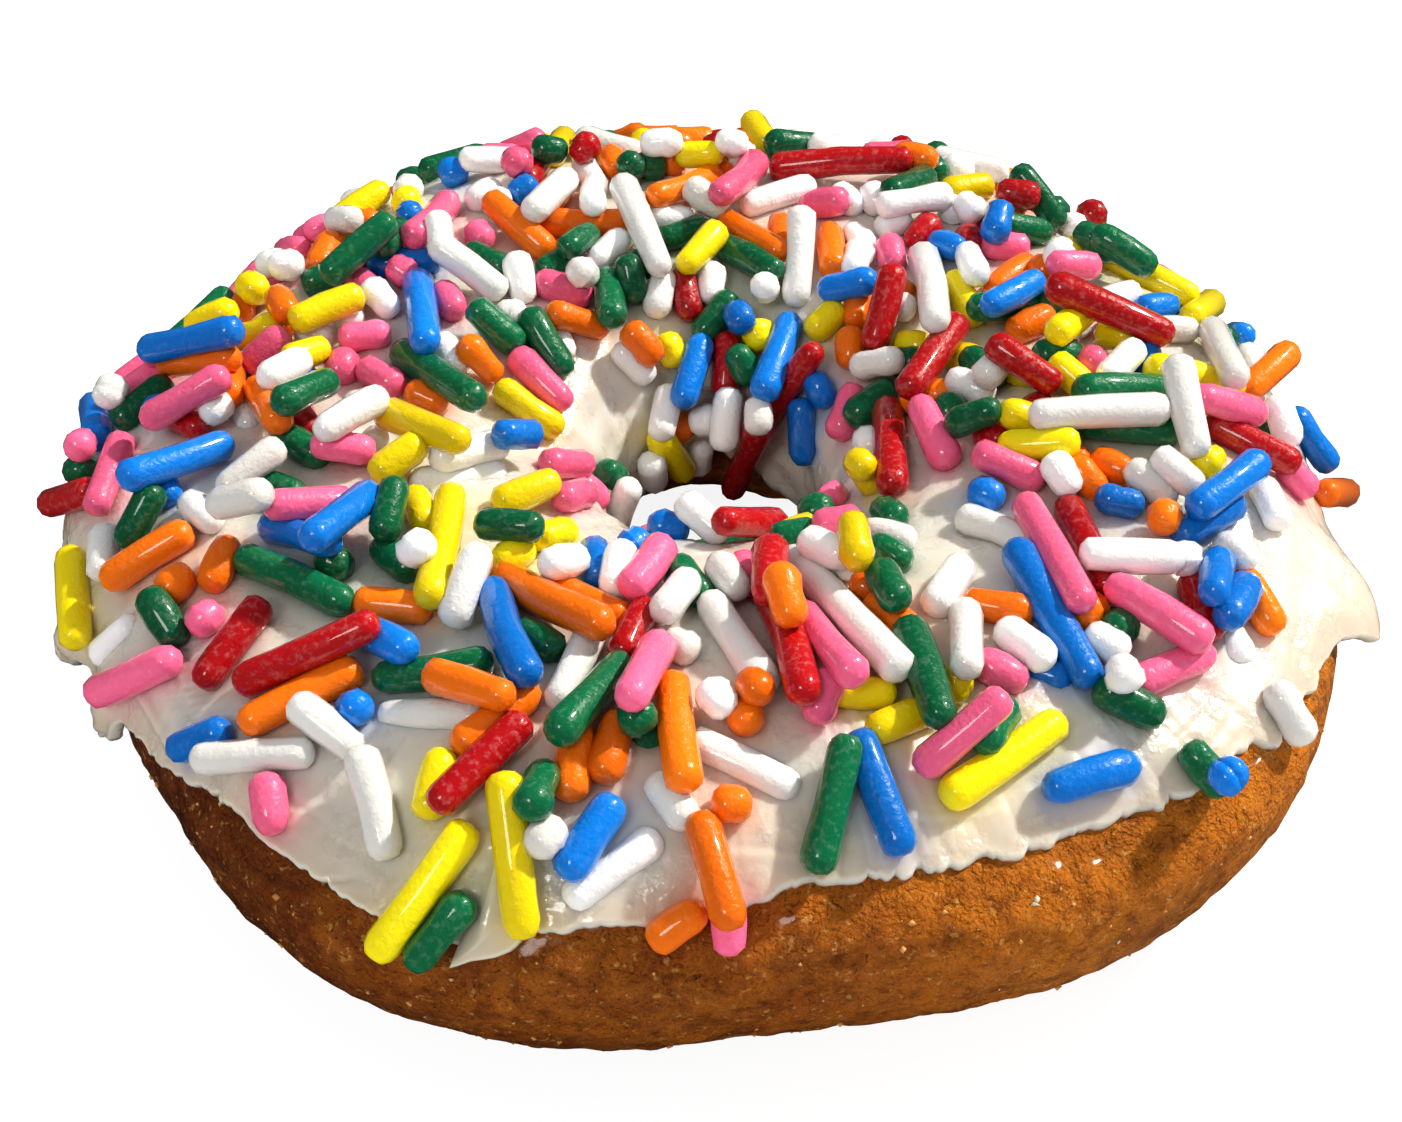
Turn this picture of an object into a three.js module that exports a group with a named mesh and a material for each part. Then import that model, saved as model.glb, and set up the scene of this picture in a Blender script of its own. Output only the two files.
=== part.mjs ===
// A ring doughnut with a flat base, and the white icing that is spread over its top.
// Millimetres, +Z up. The origin is at the middle of the base, the ring's near side is at -Y.
//
// Both pieces are worked out from one surface, the dough's skin: an angle round the ring, which
// is 0 at the near side and grows towards +X, and an angle round the section, which is 0 at the
// outside, 90 degrees on the crest and 180 degrees at the wall of the hole.

import * as THREE from 'three';

// Driving dimensions.
const OUTER_RADIUS = 38.8;
const HOLE_RADIUS = 8.9;
const WIDEST_LEVEL = 11.05; // height of the section's widest line above the base
const CREST_RISE = 6.45; // from the widest line up to the crest
const UNDERSIDE_DEPTH = 11.5; // of the full round underside, which the flat base cuts off
const CREST_SHARE = 0.47; // where the crest lies between the hole's wall and the outside
const CREST_POWER = 0.86; // below 1, so the crest is squarer than an ellipse
const UNDERSIDE_POWER = 0.88;
const HOLE_OFFSET = { x: 0.92, y: 1.1 }; // the hole was not cut quite in the middle
const PLAN_SHIFT = { x: 0.066, y: -0.396 }; // brings the middle of the whole box over the origin

const ICING_GAP = 0.3;
const ICING_EDGE_THICKNESS = 0.55;
const ICING_CREST_THICKNESS = 1.9;
const ICING_WALL_THICKNESS = 1.2; // down the wall of the hole
const ICING_WALL_END = 216; // section angle, degrees, where the icing stops inside the hole
const ICING_EDGE_MEAN = 18; // section angle, degrees, of the outer edge

// Waves are [number round the ring, height, angle of the first crest in degrees].
const OUTLINE_WAVES = [
  [1, 0.4, 90],
  [2, 0.63, -89],
  [3, 0.49, -59],
  [4, 0.18, -32],
  [5, 0.42, -20],
  [6, 0.59, -27],
  [7, 0.24, -5],
];
const CREST_WAVES = [
  [2, 0.25, 40],
  [3, 0.2, -20],
  [5, 0.12, 10],
];
const ICING_EDGE_WAVES = [
  [1, 13, 18],
  [2, 7, 18],
  [5, 1.6, 14],
  [9, 1.4, 21],
  [14, 1.2, 3],
  [23, 0.9, 6],
];
// Dents and swellings that handling left in the outline.
const PRESSES = [
  { at: -66, spread: 15, push: -1.0 },
  { at: 92, spread: 15, push: -1.1 },
  { at: 38, spread: 9, push: -0.5 },
  { at: -100, spread: 14, push: 0.6 },
  { at: 64, spread: 11, push: 0.15 },
];
// Slow lumps of the skin: number round the ring, number round the section, height, phase.
const SKIN_LUMPS = [
  [7, 2, 0.16, 0.4],
  [11, 3, 0.12, 1.9],
  [17, 4, 0.08, 3.1],
];
// Tongues where the spread icing was torn: how far they run down and stand off the dough.
const TONGUES = [
  { at: -73, spread: 3.0, drop: 15, lift: 1.5 },
  { at: -64, spread: 2.6, drop: 12, lift: 1.1 },
  { at: -18.5, spread: 2.4, drop: 9, lift: 0.25 },
  { at: 75, spread: 5.5, drop: 17, lift: 2.1 },
  { at: -128, spread: 4.5, drop: 8, lift: 0.6 },
  { at: 151, spread: 5.0, drop: 9, lift: 0.7 },
];

// Mesh steps.
const RING_STEPS = 90;
const DOUGH_SECTION_STEPS = 24;
const ICING_OUTER_STEPS = 13;
const ICING_INNER_STEPS = 15;

const radians = THREE.MathUtils.degToRad;

/** Sum of waves at an angle round the ring, in radians. */
function waves(list, ringAngle) {
  return list.reduce(
    (sum, [count, height, crest]) => sum + height * Math.cos(count * (ringAngle - radians(crest))),
    0,
  );
}

/** A bell of height 1 at an angle in degrees, whose half width is spread. */
function bell(ringAngle, at, spread) {
  const turns = (ringAngle - radians(at)) / (2 * Math.PI);
  const away = (turns - Math.round(turns)) * 360;
  return Math.exp(-((away / spread) ** 2));
}

/** Signed power, which keeps the sign of its base. */
function signedPower(base, power) {
  return Math.sign(base) * Math.abs(base) ** power;
}

function smoothstep(low, high, value) {
  const share = THREE.MathUtils.clamp((value - low) / (high - low), 0, 1);
  return share * share * (3 - 2 * share);
}

/** Radii of the dough's outside and of the hole's wall, at the widest line. */
function planRadii(ringAngle) {
  const presses = PRESSES.reduce((sum, p) => sum + p.push * bell(ringAngle, p.at, p.spread), 0);
  const outer = OUTER_RADIUS + waves(OUTLINE_WAVES, ringAngle) + presses;
  const along = Math.sin(ringAngle) * HOLE_OFFSET.x - Math.cos(ringAngle) * HOLE_OFFSET.y;
  const across = HOLE_OFFSET.x ** 2 + HOLE_OFFSET.y ** 2 - along ** 2;
  const inner = along + Math.sqrt(HOLE_RADIUS ** 2 - across);
  return { outer, inner };
}

/** Point of the dough's skin, pushed out along its normal by a distance. */
function skinPoint(ringAngle, sectionAngle, offset) {
  const { outer, inner } = planRadii(ringAngle);
  const crestRadius = inner + (outer - inner) * CREST_SHARE;
  const cos = Math.cos(sectionAngle);
  const sin = Math.sin(sectionAngle);
  const power = sin > 0 ? CREST_POWER : UNDERSIDE_POWER;
  const halfWidth = cos > 0 ? outer - crestRadius : crestRadius - inner;
  const rise = sin > 0 ? CREST_RISE + waves(CREST_WAVES, ringAngle) : UNDERSIDE_DEPTH;
  const level = signedPower(sin, power);
  const reach = signedPower(cos, power);
  const slope = new THREE.Vector2(
    signedPower(reach, 2 / power - 1) / halfWidth,
    signedPower(level, 2 / power - 1) / rise,
  ).normalize();
  const lumps = SKIN_LUMPS.reduce(
    (sum, [round, across, height, phase]) =>
      sum + height * Math.sin(round * ringAngle + phase) * Math.sin(across * sectionAngle + phase),
    0,
  );
  const push = offset + lumps;
  const radius = crestRadius + halfWidth * reach + push * slope.x;
  const height = WIDEST_LEVEL + rise * level + push * slope.y;
  return new THREE.Vector3(
    radius * Math.sin(ringAngle) + PLAN_SHIFT.x,
    -radius * Math.cos(ringAngle) + PLAN_SHIFT.y,
    Math.max(height, 0),
  );
}

/** Closed mesh from a closed loop of section points that is carried once round the ring. */
function ringGeometry(sectionSteps, pointAt) {
  const positions = [];
  const indices = [];
  for (let ring = 0; ring < RING_STEPS; ring += 1) {
    const ringAngle = (2 * Math.PI * ring) / RING_STEPS;
    for (let step = 0; step < sectionSteps; step += 1) {
      positions.push(...pointAt(ringAngle, step).toArray());
      const nextRing = (ring + 1) % RING_STEPS;
      const nextStep = (step + 1) % sectionSteps;
      const here = ring * sectionSteps + step;
      const up = ring * sectionSteps + nextStep;
      const along = nextRing * sectionSteps + step;
      const far = nextRing * sectionSteps + nextStep;
      indices.push(here, along, far, here, far, up);
    }
  }
  const geometry = new THREE.BufferGeometry();
  geometry.setAttribute('position', new THREE.Float32BufferAttribute(positions, 3));
  geometry.setIndex(indices);
  geometry.computeVertexNormals();
  return geometry;
}

function doughGeometry() {
  return ringGeometry(DOUGH_SECTION_STEPS, (ringAngle, step) =>
    skinPoint(ringAngle, (2 * Math.PI * step) / DOUGH_SECTION_STEPS, 0),
  );
}

/** How far the tongues lower the edge, and how far they stand off, at an angle round the ring. */
function tongueAt(ringAngle) {
  return TONGUES.reduce(
    (sum, tongue) => {
      const share = bell(ringAngle, tongue.at, tongue.spread);
      return { drop: sum.drop + tongue.drop * share, lift: sum.lift + tongue.lift * share };
    },
    { drop: 0, lift: 0 },
  );
}

/**
 * The icing's section is a thin closed loop. Its outer side runs from the outer edge over the
 * crest to the end inside the hole, and its inner side runs back just above the dough.
 */
function icingPoint(ringAngle, step) {
  const tongue = tongueAt(ringAngle);
  const edge = ICING_EDGE_MEAN + waves(ICING_EDGE_WAVES, ringAngle) - tongue.drop;
  const onOuterSide = step < ICING_OUTER_STEPS;
  const share = onOuterSide
    ? step / (ICING_OUTER_STEPS - 1)
    : 1 - (step - ICING_OUTER_STEPS) / (ICING_INNER_STEPS - 1);
  const sectionDegrees = THREE.MathUtils.lerp(edge, ICING_WALL_END, share);
  const nearEdge = 1 - smoothstep(0, 0.16, share);
  const nearCrest = smoothstep(0, 0.3, share);
  const inHole = smoothstep(0.55, 0.95, share);
  const body = THREE.MathUtils.lerp(ICING_EDGE_THICKNESS, ICING_CREST_THICKNESS, nearCrest);
  const thickness = THREE.MathUtils.lerp(body, ICING_WALL_THICKNESS, inHole);
  const inset = ICING_GAP + tongue.lift * nearEdge;
  const offset = inset + (onOuterSide ? thickness : 0);
  return skinPoint(ringAngle, radians(sectionDegrees), offset);
}

function icingGeometry() {
  return ringGeometry(ICING_OUTER_STEPS + ICING_INNER_STEPS, icingPoint);
}

const crust = new THREE.MeshStandardMaterial({ color: 0x8a4b1c, roughness: 0.55, metalness: 0 });
const whiteIcing = new THREE.MeshStandardMaterial({ color: 0xf1ece2, roughness: 0.3, metalness: 0 });

const doughnut = new THREE.Group();

const dough = new THREE.Mesh(doughGeometry(), crust);
dough.name = 'dough';
doughnut.add(dough);

const icing = new THREE.Mesh(icingGeometry(), whiteIcing);
icing.name = 'icing';
doughnut.add(icing);

export default doughnut;
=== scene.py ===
# %% [markdown]
# # A ring doughnut with white icing and sugar sprinkles
#
# The real thing is a ring of fried dough about 80 mm across, a coat of thick white icing that was
# spread over its top with a knife, and some hundreds of waxy sugar sprinkles that were thrown on
# while the icing was wet. The dough is brown and crumbly, the icing is moist and ends in a thin
# torn edge, and the sprinkles lie in a heap two or three deep over the crest.
#
# The frame holds the dough and the icing as plain solids in their right places. This lesson works
# out the fine surface of each as a function of two angles, and then drops the sprinkles on it one
# at a time. All lengths are worked out in millimetres and turned into metres at the very end.

# %% Load the frame
import itertools
import math

import bpy
import numpy as np
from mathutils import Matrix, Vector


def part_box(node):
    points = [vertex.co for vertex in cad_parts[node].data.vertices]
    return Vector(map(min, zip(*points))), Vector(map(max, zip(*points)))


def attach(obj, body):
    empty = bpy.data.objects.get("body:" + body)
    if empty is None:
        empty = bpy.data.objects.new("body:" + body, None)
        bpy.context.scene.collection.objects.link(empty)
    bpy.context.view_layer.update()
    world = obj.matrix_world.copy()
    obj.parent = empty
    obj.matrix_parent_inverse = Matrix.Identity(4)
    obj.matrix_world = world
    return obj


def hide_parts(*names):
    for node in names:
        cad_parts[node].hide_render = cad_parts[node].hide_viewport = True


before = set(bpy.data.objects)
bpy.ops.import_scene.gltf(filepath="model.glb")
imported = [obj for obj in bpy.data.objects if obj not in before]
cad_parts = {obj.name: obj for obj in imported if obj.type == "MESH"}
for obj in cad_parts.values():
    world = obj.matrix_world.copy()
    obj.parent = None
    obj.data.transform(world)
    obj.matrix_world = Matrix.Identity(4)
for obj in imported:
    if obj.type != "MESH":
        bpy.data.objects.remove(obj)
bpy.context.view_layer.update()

METRES = 0.001  # one millimetre

# %% [markdown]
# ## The camera
#
# The doughnut is seen from its near side, looking down at a little over forty degrees, with a
# rather short lens: the near side of the ring looks a quarter larger than the far side. The camera
# comes first, because the listed sprinkles are placed as they are seen from it.

# %% Camera
CAMERA_AIM = np.array([0.066, -0.396, 12.0])  # mm, a point inside the ring
CAMERA_DISTANCE = 141.9
CAMERA_ELEVATION = math.radians(41.1)
LENS = 57.4
FRAME_SHIFT = (-0.0014, -0.0359)

look_back = np.array([0.0, -math.cos(CAMERA_ELEVATION), math.sin(CAMERA_ELEVATION)])
camera_place = CAMERA_AIM + CAMERA_DISTANCE * look_back

camera_data = bpy.data.cameras.new("camera")
camera_data.lens = LENS
camera_data.sensor_width = 36.0
camera_data.shift_x = FRAME_SHIFT[0]
camera_data.shift_y = FRAME_SHIFT[1]
camera_data.clip_start = 0.01
camera_data.clip_end = 20.0
camera = bpy.data.objects.new("camera", camera_data)
camera.location = camera_place * METRES
camera.rotation_euler = (math.pi / 2 - CAMERA_ELEVATION, 0.0, 0.0)
bpy.context.scene.collection.objects.link(camera)
bpy.context.scene.camera = camera
print("camera at, mm:", np.round(camera_place, 1))

# %% [markdown]
# ## The skin that everything is measured from
#
# A point of the dough's skin has two angles: one round the ring, 0 at the near side and growing to
# the right, and one round the section, 0 outside, 90 on the crest and 180 at the wall of the hole.
# The section is a pair of half ellipses with squared shoulders, and the outline is a circle with
# slow waves and a few dents from handling. These are the same numbers that the solids were made
# from. The skin is worked out in one place, because the icing, the sprinkles and the crumbs all
# stand on it.

# %% Skin of the dough
OUTER_RADIUS = 38.8
HOLE_RADIUS = 8.9
WIDEST_LEVEL = 11.05
CREST_RISE = 6.45
UNDERSIDE_DEPTH = 11.5
CREST_SHARE = 0.47
CREST_POWER = 0.86
UNDERSIDE_POWER = 0.88
HOLE_OFFSET = (0.92, 1.1)

# Waves are (number round the ring, height in mm, angle of the first crest in degrees). Rows 2 to 7
# of the outline came out of a least-squares fit; the others were chosen.
OUTLINE_WAVES = [
    (1, 0.4, 90), (2, 0.63, -89), (3, 0.49, -59), (4, 0.18, -32),
    (5, 0.42, -20), (6, 0.59, -27), (7, 0.24, -5),
]
CREST_WAVES = [(2, 0.25, 40), (3, 0.2, -20), (5, 0.12, 10)]
# Dents and swellings are (angle, half width in degrees, push in mm).
PRESSES = [(-66, 15, -1.0), (92, 15, -1.1), (38, 9, -0.5), (-100, 14, 0.6), (64, 11, 0.15)]
# Slow lumps are (number round the ring, number round the section, height, phase).
SKIN_LUMPS = [(7, 2, 0.16, 0.4), (11, 3, 0.12, 1.9), (17, 4, 0.08, 3.1)]


def waves(table, ring):
    """Sum of height * cos(count * (ring - crest)) over a table of waves."""
    terms = [height * np.cos(n * (ring - math.radians(crest))) for n, height, crest in table]
    return np.sum(terms, axis=0)


def bell(ring, at, spread):
    """exp(-(away / spread)^2), where away is in degrees from at, the short way round."""
    away = (np.degrees(ring) - at + 180.0) % 360.0 - 180.0
    return np.exp(-((away / spread) ** 2))


def smoothstep(low, high, value):
    """3s^2 - 2s^3, where s runs from 0 at low to 1 at high."""
    share = np.clip((value - low) / (high - low), 0.0, 1.0)
    return share * share * (3.0 - 2.0 * share)


def blend(first, second, share):
    """first where share is 0, second where it is 1."""
    return first + (second - first) * share


def signed_power(base, power):
    """|base|^power with the sign of base."""
    return np.sign(base) * np.abs(base) ** power


def skin(ring, section, push=0.0):
    """
    Points of the skin, pushed out by a distance along its normal, and those normals.
    In the section, reach = cos(section)^power and level = sin(section)^power, times the half width
    and the rise on that side. The normal of such a squared ellipse is
    (reach^(2/power - 1) / half width, level^(2/power - 1) / rise), made one unit long.
    """
    ring, section, push = np.broadcast_arrays(ring, section, push)
    outer = OUTER_RADIUS + waves(OUTLINE_WAVES, ring)
    for at, spread, press in PRESSES:
        outer = outer + press * bell(ring, at, spread)
    along = np.sin(ring) * HOLE_OFFSET[0] - np.cos(ring) * HOLE_OFFSET[1]
    across = HOLE_OFFSET[0] ** 2 + HOLE_OFFSET[1] ** 2 - along**2
    inner = along + np.sqrt(HOLE_RADIUS**2 - across)
    crest_radius = inner + (outer - inner) * CREST_SHARE
    cosine = np.cos(section)
    sine = np.sin(section)
    power = np.where(sine > 0, CREST_POWER, UNDERSIDE_POWER)
    half_width = np.where(cosine > 0, outer - crest_radius, crest_radius - inner)
    rise = np.where(sine > 0, CREST_RISE + waves(CREST_WAVES, ring), UNDERSIDE_DEPTH)
    reach = signed_power(cosine, power)
    level = signed_power(sine, power)
    out = signed_power(reach, 2.0 / power - 1.0) / half_width
    up = signed_power(level, 2.0 / power - 1.0) / rise
    length = np.hypot(out, up)
    out = out / length
    up = up / length
    lumps = [
        height * np.sin(n * ring + phase) * np.sin(m * section + phase)
        for n, m, height, phase in SKIN_LUMPS
    ]
    push = push + np.sum(lumps, axis=0)
    radius = crest_radius + half_width * reach + push * out
    height = np.maximum(WIDEST_LEVEL + rise * level + push * up, 0.0)
    points = np.stack([radius * np.sin(ring), -radius * np.cos(ring), height], axis=-1)
    normals = np.stack([out * np.sin(ring), -out * np.cos(ring), up], axis=-1)
    return points, normals


# The ring is moved so that the middle of the dough's box is where the frame has it.
coarse_ring = np.linspace(-math.pi, math.pi, 90, endpoint=False)[:, None]
coarse_section = np.linspace(0.0, 2.0 * math.pi, 24, endpoint=False)[None, :]
coarse_points = skin(coarse_ring, coarse_section)[0].reshape(-1, 3)
box_low, box_high = [np.array(corner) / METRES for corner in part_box("dough")]
PLAN_SHIFT = (box_low + box_high) / 2.0 - (coarse_points.min(0) + coarse_points.max(0)) / 2.0
PLAN_SHIFT[2] = 0.0
misfit = (coarse_points.max(0) - coarse_points.min(0)) - (box_high - box_low)
print("plan shift, mm:", np.round(PLAN_SHIFT, 3), "difference in size, mm:", np.round(misfit, 3))


def place_on_skin(ring, section, push=0.0):
    """Points of the skin in the frame's own place, in mm, and the normals there."""
    points, normals = skin(ring, section, push)
    return points + PLAN_SHIFT, normals


# %% [markdown]
# ## Unevenness
#
# Fried crust and spread icing are uneven at several sizes at once, from slow swellings down to
# crumbs. A table of random numbers on a cubic lattice, smoothed between its points, gives one size
# of unevenness, and sums of it give the rest. It is read at points in space, so it has no seam
# where the ring closes.

# %% Lattice noise
LATTICE_SIZE = 64
lattice = np.random.default_rng(11).uniform(-1.0, 1.0, (LATTICE_SIZE,) * 3)


def unevenness(points, size, start=0.0):
    """
    Smooth random heights between -1 and 1. Points over size give a cell and a part of it; each
    part p becomes 3p^2 - 2p^3, and the cell's eight corner values are blended by these parts.
    """
    cells = points / size + start
    base = np.floor(cells)
    part = cells - base
    part = part * part * (3.0 - 2.0 * part)
    base = base.astype(int)
    total = 0.0
    for corner in itertools.product((0, 1), repeat=3):
        share = np.prod(np.where(corner, part, 1.0 - part), axis=-1)
        index = (base + corner) % LATTICE_SIZE
        total = total + share * lattice[index[..., 0], index[..., 1], index[..., 2]]
    return total


# %% [markdown]
# ## Turning a grid into a piece
#
# Dough and icing are both a closed loop of section points that is carried once round the ring, so
# one helper turns the grid of points into a mesh: each cell becomes a four-sided face, and the
# last row and column join the first ones. All faces go in as whole arrays.

# %% Mesh helpers


def mesh_piece(name, points, corners, sizes):
    """A smooth mesh piece from points in mm, all faces' corners in one row, and corners a face."""
    mesh = bpy.data.meshes.new(name)
    mesh.vertices.add(len(points))
    mesh.vertices.foreach_set("co", (points * METRES).astype(np.float32).ravel())
    mesh.loops.add(len(corners))
    mesh.loops.foreach_set("vertex_index", corners.astype(np.int32))
    mesh.polygons.add(len(sizes))
    starts = np.concatenate([[0], np.cumsum(sizes)[:-1]])
    mesh.polygons.foreach_set("loop_start", starts.astype(np.int32))
    mesh.polygons.foreach_set("use_smooth", np.ones(len(sizes), dtype=bool))
    mesh.update(calc_edges=True)
    piece = bpy.data.objects.new(name, mesh)
    bpy.context.scene.collection.objects.link(piece)
    triangles = int(np.sum(np.asarray(sizes) - 2))
    print(f"{name}: {len(points)} points, {triangles} triangles")
    return piece


def ring_piece(name, grid):
    """A closed piece from a grid of points, round the ring and then round the section."""
    rings, steps = grid.shape[:2]
    here = np.arange(rings * steps).reshape(rings, steps)
    along = np.roll(here, -1, axis=0)
    up = np.roll(here, -1, axis=1)
    far = np.roll(along, -1, axis=1)
    corners = np.stack([here, along, far, up], axis=-1).reshape(-1)
    return mesh_piece(name, grid.reshape(-1, 3), corners, np.full(rings * steps, 4))


def paint_values(piece, name, values):
    """Keeps one number a point on the piece, for its material to read."""
    layer = piece.data.attributes.new(name, "FLOAT", "POINT")
    layer.data.foreach_set("value", values.astype(np.float32).ravel())


def paint_colours(piece, name, colours):
    """Keeps one colour a point on the piece, for its material to read."""
    layer = piece.data.color_attributes.new(name, "FLOAT_COLOR", "POINT")
    full = np.concatenate([colours, np.ones((len(colours), 1))], axis=1)
    layer.data.foreach_set("color", full.astype(np.float32).ravel())


def stretched_steps(knots, total):
    """Steps between knot values: each stretch (start, share of the steps) is evenly divided."""
    starts = np.array([knot[0] for knot in knots], dtype=float)
    shares = np.array([0.0] + [knot[1] for knot in knots[:-1]])
    return np.interp(np.linspace(0.0, 1.0, total), np.cumsum(shares) / shares.sum(), starts)


# %% [markdown]
# ## The dough
#
# The fried crust has slow lumps, shallow creases that run round the ring, a fine crumbly grain and
# a few blisters. All of this is real height on the mesh, since it shows along the outline and in
# the raking light. Most of the section's steps go to the outer side, which the icing leaves bare.

# %% Dough
DOUGH_RING_STEPS = 640
DOUGH_SECTION_STEPS = 152
# (section angle in degrees, share of the steps up to the next one)
DOUGH_STEP_KNOTS = [(-105, 0.66), (45, 0.12), (190, 0.14), (240, 0.08), (255, 0)]


def crust_relief(points):
    """
    Height of the crust, mm: unevenness at four sizes, less creases where a flattened unevenness
    passes through zero, plus blisters where another one is above a limit.
    """
    grain = 0.13 * unevenness(points, 6.0) + 0.11 * unevenness(points, 2.6, 7.3)
    grain = grain + 0.12 * unevenness(points, 1.25, 3.1) + 0.06 * unevenness(points, 0.7, 5.7)
    crease = unevenness(points * np.array([0.16, 0.16, 0.62]), 1.0, 21.4)
    soft = smoothstep(-0.2, 0.5, unevenness(points, 5.0, 33.0))
    blister = smoothstep(0.45, 0.8, unevenness(points, 1.7, 41.0))
    return grain - 0.2 * soft * np.exp(-((crease / 0.075) ** 2)) + 0.1 * blister


dough_ring = np.linspace(-math.pi, math.pi, DOUGH_RING_STEPS, endpoint=False)[:, None]
dough_section = stretched_steps(DOUGH_STEP_KNOTS, DOUGH_SECTION_STEPS + 1)[:-1]
dough_section = np.radians(dough_section)[None, :]
dough_skin = place_on_skin(dough_ring, dough_section)[0]
dough_relief = crust_relief(dough_skin)
dough_grid = place_on_skin(dough_ring, dough_section, dough_relief)[0]
dough = ring_piece("dough_crust", dough_grid)
paint_values(dough, "relief", dough_relief)
# The side mask is painted shade and painted light: high on the left, away from the key light, and low
# on the right, where the key light falls.
side_shade_sum = -np.sin(dough_ring - 0.17) + 0.4 * unevenness(dough_skin, 9.0, 12.0)
paint_values(dough, "painted_side_shade", smoothstep(-0.7, 0.9, side_shade_sum))

# %% [markdown]
# ## The icing
#
# The icing is one thin closed shell. Its outer side starts at the torn edge, runs over the crest
# and ends inside the hole, and its underside runs back just inside the dough. The edge could be a
# sum of waves, but a torn edge has runs, steps and tongues that no wave has, so its course is a
# list of pairs of angles, and unevenness adds the small teeth. Tongues hang over and stand off the
# dough, and some lean to one side. Knife strokes leave low ridges round the ring.
# The edge is a round bead, a few tenths of a millimetre thick.

# %% Icing
ICING_RING_STEPS = 760
ICING_OUTER_STEPS = 112
ICING_UNDER_STEPS = 16
ICING_EDGE_THICKNESS = 0.5
ICING_CREST_THICKNESS = 1.9 + 0.3
ICING_WALL_THICKNESS = 1.2 + 0.3
# Where the coat ends inside the hole, degrees of section; it ends higher at the far wall.
WALL_END_MEAN = 214.0
WALL_END_RISE_AT_FAR_SIDE = 28.0
# The course of the torn edge: (ring angle, section angle), degrees. About four in ten of the pairs
# are, or are within a degree of, what a converter of picked points gave; the rest were chosen.
EDGE_KNOTS = [
    (-180, 17), (-165, 13), (-150, 18), (-135, 15), (-128, 8), (-121, 14), (-110, 16), (-100, 11),
    (-92, 9), (-86, 7.5), (-79, 4), (-75, -3), (-72, -5.5), (-69.5, 3), (-67, 1), (-65, -6),
    (-62.5, -3), (-60, 8), (-57, 11), (-53, 15), (-50, 18), (-47, 26), (-41, 27.5), (-33, 27),
    (-26, 22.5), (-22, 20.5), (-19.6, 21.5), (-17.9, 23), (-17.5, 13), (-16.9, 12.5), (-16.3, 17.5),
    (-15, 22), (-14, 27.5), (-9, 32), (0, 32), (5.5, 36.5), (15, 40), (28, 40.5), (39.5, 39),
    (50.5, 35.5), (54.5, 28), (60, 25), (68, 22), (71, 13), (73, 4), (76, 7), (80, 15), (90, 17),
    (105, 14), (120, 19), (135, 13), (146, 15), (151, 7), (157, 14), (170, 19),
]
# Tongues that stand off the dough: (ring angle, half width in degrees, lift in mm).
LIFTS = [
    (-73, 3.0, 1.5), (-64, 2.6, 1.2), (-17.0, 1.0, 0.35),
    (75, 5.5, 2.1), (-128, 4.5, 0.6), (151, 5.0, 0.7),
]
UNDERSIDE_DEPTH_IN_DOUGH = 0.2
# How wide the round beads are at the torn edge and inside the hole, degrees of section.
EDGE_BEAD = 1.9
END_BEAD = 3.5
# Torn tips that lean round the ring: (angle, half width, lean in degrees of the ring).
LEANS = [(-17.1, 1.0, -2.2), (-73, 3.0, -0.9), (38, 2.5, 0.8), (-42, 2.5, -0.8)]


def on_circle(ring, size, level=0.0):
    """Points of a circle at the outline, so that unevenness read there closes on itself."""
    radius = OUTER_RADIUS / size
    ring, level = np.broadcast_arrays(ring, level)
    return np.stack([radius * np.sin(ring), radius * np.cos(ring), level], axis=-1)


def icing_edge(ring):
    """Section angle of the torn edge, degrees: straight runs between the knots, and teeth."""
    knots = np.array(EDGE_KNOTS)
    edge = np.interp(np.degrees(ring), knots[:, 0], knots[:, 1], period=360.0)
    torn = blend(0.55, 1.1, smoothstep(-0.3, 0.5, unevenness(on_circle(ring, 7.0), 1.0, 33.0)))
    ragged = 1.4 * unevenness(on_circle(ring, 2.4), 1.0, 2.0)
    fine = 1.5 * unevenness(on_circle(ring, 0.95), 1.0, 9.0)
    notch = 1.0 - np.abs(unevenness(on_circle(ring, 1.5), 1.0, 14.0))
    tooth = 1.0 - np.abs(unevenness(on_circle(ring, 0.62), 1.0, 27.0))
    return edge + ragged + torn * (fine + 2.6 * (notch**4 - 0.35) + 1.2 * (tooth**3 - 0.4))


def wall_end(ring):
    """Section angle where the coat ends inside the hole, degrees."""
    wander = 3.0 * unevenness(on_circle(ring, 5.0), 1.0, 44.0)
    return WALL_END_MEAN - WALL_END_RISE_AT_FAR_SIDE * bell(ring, 180.0, 40.0) + wander


def icing_lean(ring, share):
    """How far the icing near its edge is pulled round the ring, radians; none inside the coat."""
    lean = np.sum([pull * bell(ring, at, spread) for at, spread, pull in LEANS], axis=0)
    return np.radians(lean) * (1.0 - smoothstep(0.0, 0.07, share))


def icing_lift(ring):
    """How far the edge stands off the dough, mm."""
    return np.sum([lift * bell(ring, at, spread) for at, spread, lift in LIFTS], axis=0)


def rounded_fold(value):
    """sqrt(value^2 + 0.03): close to the size of the value, with a round bottom at zero."""
    return np.sqrt(value**2 + 0.03)


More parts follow.
